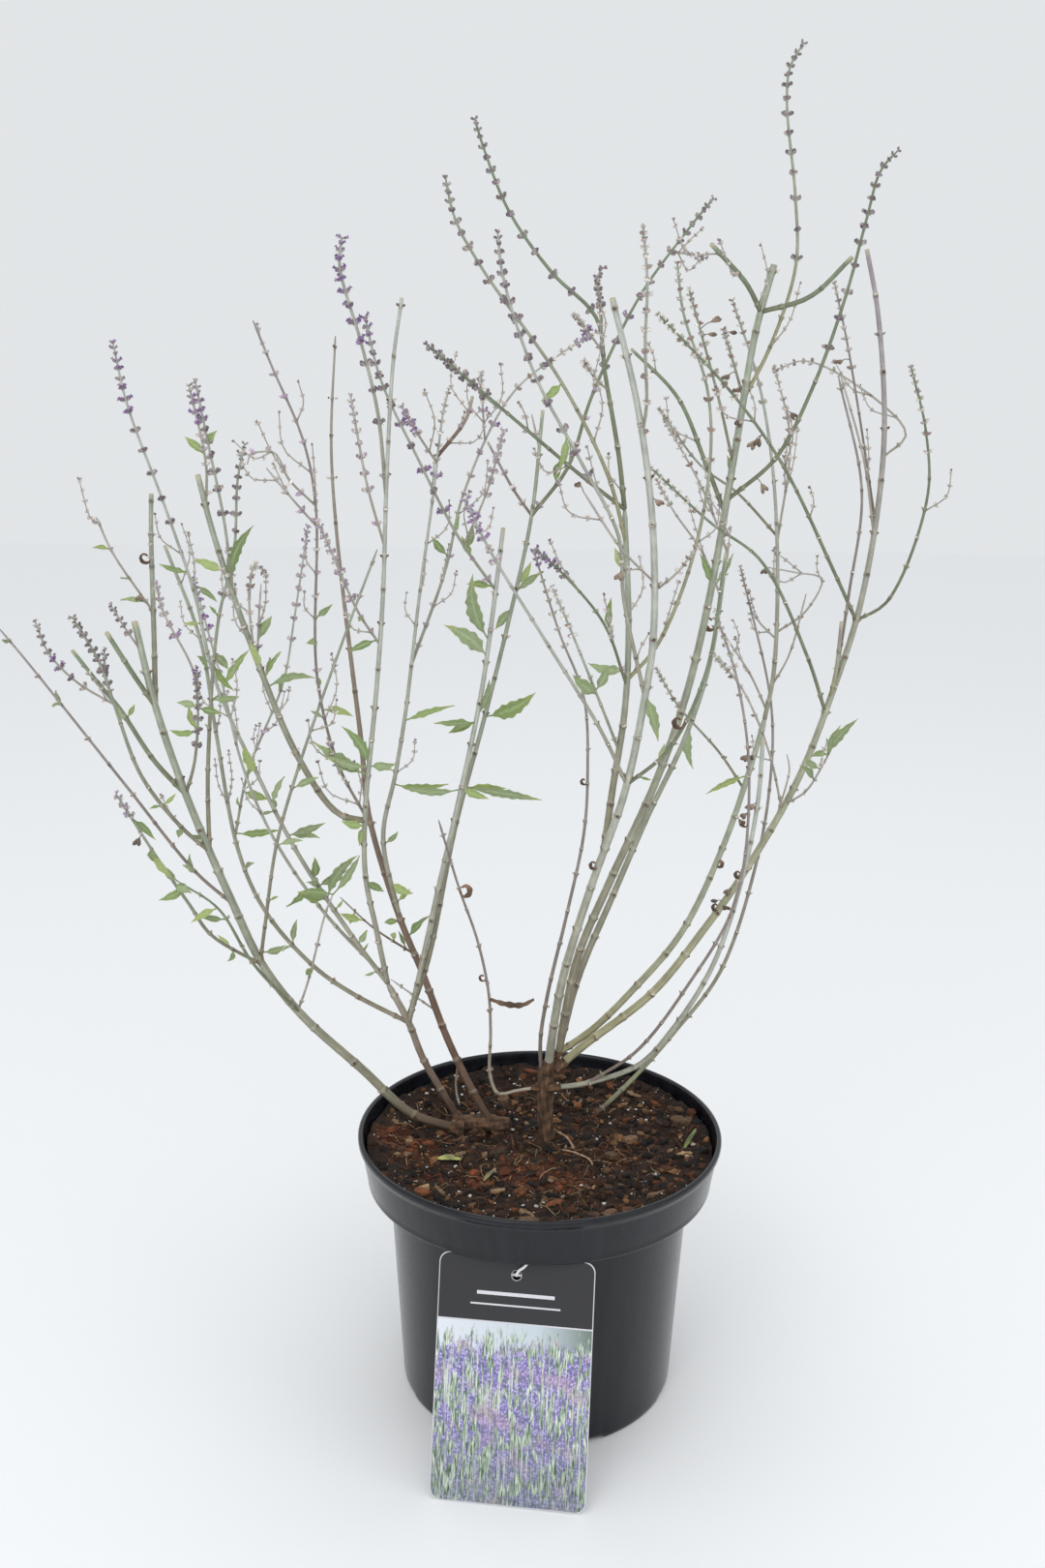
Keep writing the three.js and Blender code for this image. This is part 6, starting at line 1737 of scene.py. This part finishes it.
def filled(name, outlines, extrude, bevel, material, depth, nodes=()):
    """A flat shape with holes, given a thickness, laid in the card's plane at a depth."""
    data = bpy.data.curves.new(name, "CURVE")
    data.dimensions = "2D"
    data.fill_mode = "BOTH"
    data.extrude = extrude * MM
    data.bevel_depth = bevel * MM
    data.bevel_resolution = 2
    for outline in outlines:
        spline = data.splines.new("POLY")
        spline.points.add(len(outline) - 1)
        for point, (x, y) in zip(spline.points, outline):
            point.co = (x * MM, y * MM, 0, 1)
        spline.use_cyclic_u = True
    holder = bpy.data.objects.new(name + "_outline", data)
    bpy.context.scene.collection.objects.link(holder)
    bpy.context.view_layer.update()
    mesh = bpy.data.meshes.new_from_object(holder.evaluated_get(bpy.context.evaluated_depsgraph_get()))
    bpy.data.objects.remove(holder)
    mesh.name = name
    places = np.zeros(len(mesh.vertices) * 3)
    mesh.vertices.foreach_get("co", places)
    places = places.reshape(-1, 3) / MM
    right, up, out = places[:, :1], places[:, 1:2], places[:, 2:]
    vectors(mesh, "card", np.concatenate([right / CARD_WIDTH + 0.5, up / CARD_HEIGHT, out], axis=1))
    mesh.vertices.foreach_set("co", (on_card(right, up, out + depth) * MM).ravel())
    mesh.materials.clear()
    mesh.materials.append(material)
    mesh.update()
    show(name, mesh, "card", nodes)


def card():
    """A rounded plate with a hole, and on its front a dark header with two pale lines over a picture."""
    outline = rounded_outline()
    charcoal = plain("card_header", (0.17, 0.168, 0.182), 0.35)
    off_white = plain("card_line", (0.86, 0.86, 0.88), 0.4)
    body, bevel = [outline, round_hole(CARD_HOLE_RADIUS)], 0.12
    filled("card_body", body, CARD_THICKNESS / 2 - bevel, bevel, off_white, 0, ["tag"])

    edge = CARD_HALF - PRINT_INSET
    print_height = CARD_HEIGHT - 2 * PRINT_INSET
    inner = [(x * edge / CARD_HALF, PRINT_INSET + y * print_height / CARD_HEIGHT) for x, y in outline]
    header = [(edge, HEADER_UP), *(p for p in inner if p[1] > HEADER_UP), (-edge, HEADER_UP)]
    filled("card_header", [header, round_hole(CARD_HOLE_RADIUS + 0.1)], 0.05, 0, charcoal, PRINT_DEPTH)
    right_side = [p for p in inner if p[1] < HEADER_UP and p[0] > 0]
    left_side = [p for p in inner if p[1] < HEADER_UP and p[0] <= 0]
    picture = [*right_side, (edge, HEADER_UP - 0.8), (-edge, HEADER_UP - 0.8), *left_side]
    filled("card_picture", [picture], 0.05, 0, meadow(), PRINT_DEPTH)
    for width, height, up in [(38, 1.7, HEADER_UP + 12.6), (44, 0.8, HEADER_UP + 7.6)]:
        bar = [(-width / 2, up), (width / 2, up), (width / 2, up + height), (-width / 2, up + height)]
        filled("card_rule_%d" % width, [bar], 0.06, 0, off_white, PRINT_DEPTH + 0.04)


def strand():
    """The tie from its knot in the pot's ledge through the card's hole to the cross bar behind it."""
    piece = Piece("strand")
    knot = np.array(TIE_HOLE) + UP * 5.0
    back = -CARD_THICKNESS / 2 - TIE_RADIUS - GAP
    bar_up = HOLE_UP - 0.2
    tie = Run([
        knot,
        np.array(TIE_HOLE) - UP * 0.6,
        on_card(4, CARD_HEIGHT - 3.6, 3),
        on_card(1, HOLE_UP + 2.6, 1.7),
        on_card(0, HOLE_UP, 0),
        on_card(0, bar_up, back),
    ])
    bar = Run([on_card(TIE_BAR * share, bar_up, back) for share in (-0.5, 0, 0.5)])
    for run, rows in [(tie, 60), (bar, 8)]:
        tube(piece, run, np.linspace(0, run.length, rows), TIE_RADIUS, STRAND_TINT, 12, squareness=0)
    piece.add(STONE * KNOT_RADIUS + knot + UP * 0.6, STONE_FACES, STRAND_TINT)
    piece.make([grained("strand", 0.45, (1.0, 0.03), (2.0, 0.05), subsurface=0.2)], "strand", ["tag_tie"])


card()
strand()


# Studio: floor, light and camera.

FLOOR_REACH = 4.0

corners = [(x * FLOOR_REACH, y * FLOOR_REACH, 0) for x, y in [(-1, -1), (1, -1), (1, 1), (-1, 1)]]
floor_mesh = bpy.data.meshes.new("floor")
floor_mesh.from_pydata(corners, [], [(0, 1, 2, 3)])
floor_mesh.materials.append(plain("floor_white", (0.985, 0.988, 0.992), 0.7, 0.99, 1.01))
floor = bpy.data.objects.new("floor", floor_mesh)
bpy.context.scene.collection.objects.link(floor)

world = bpy.context.scene.world or bpy.data.worlds.new("studio")
bpy.context.scene.world = world
world.use_nodes = True
background = world.node_tree.nodes["Background"]
background.inputs["Color"].default_value = (0.955, 0.98, 1.0, 1)
background.inputs["Strength"].default_value = 0.80

# A soft light's name, place, aim, size in metres and power in watts.
LIGHTS = [
    ("key", (-0.8, -1.2, 1.5), (0, 0, 0.3), (0.9, 0.9), 4.5),
    ("front", (0.0, -1.6, 1.6), (0, -0.5, 0), (1.8, 0.8), 7.5),
    ("fill", (1.2, -0.7, 1.1), (0, 0, 0.25), (1.0, 1.0), 1.8),
    ("back", (0.3, 1.2, 1.4), (0, 0, 0.3), (1.2, 0.8), 0.6),
]
for name, place, aim, size, power in LIGHTS:
    light = bpy.data.lights.new(name, "AREA")
    light.shape = "RECTANGLE"
    light.size, light.size_y = size
    light.energy = power
    holder = bpy.data.objects.new(name, light)
    holder.location = place
    holder.rotation_euler = (Vector(aim) - Vector(place)).to_track_quat("-Z", "Y").to_euler()
    bpy.context.scene.collection.objects.link(holder)

camera_data = bpy.data.cameras.new("camera")
camera_data.sensor_fit = "AUTO"
camera_data.sensor_width = 36
camera_data.lens = CAMERA_LENS
camera = bpy.data.objects.new("camera", camera_data)
pitch = Matrix.Rotation(math.radians(90 - CAMERA_PITCH), 4, "X")
roll = Matrix.Rotation(math.radians(CAMERA_ROLL), 4, "Z")
camera.matrix_world = Matrix.Translation(Vector(CAMERA_PLACE) * MM) @ pitch @ roll
bpy.context.scene.collection.objects.link(camera)
bpy.context.scene.camera = camera
bpy.context.scene.view_settings.view_transform = "Standard"
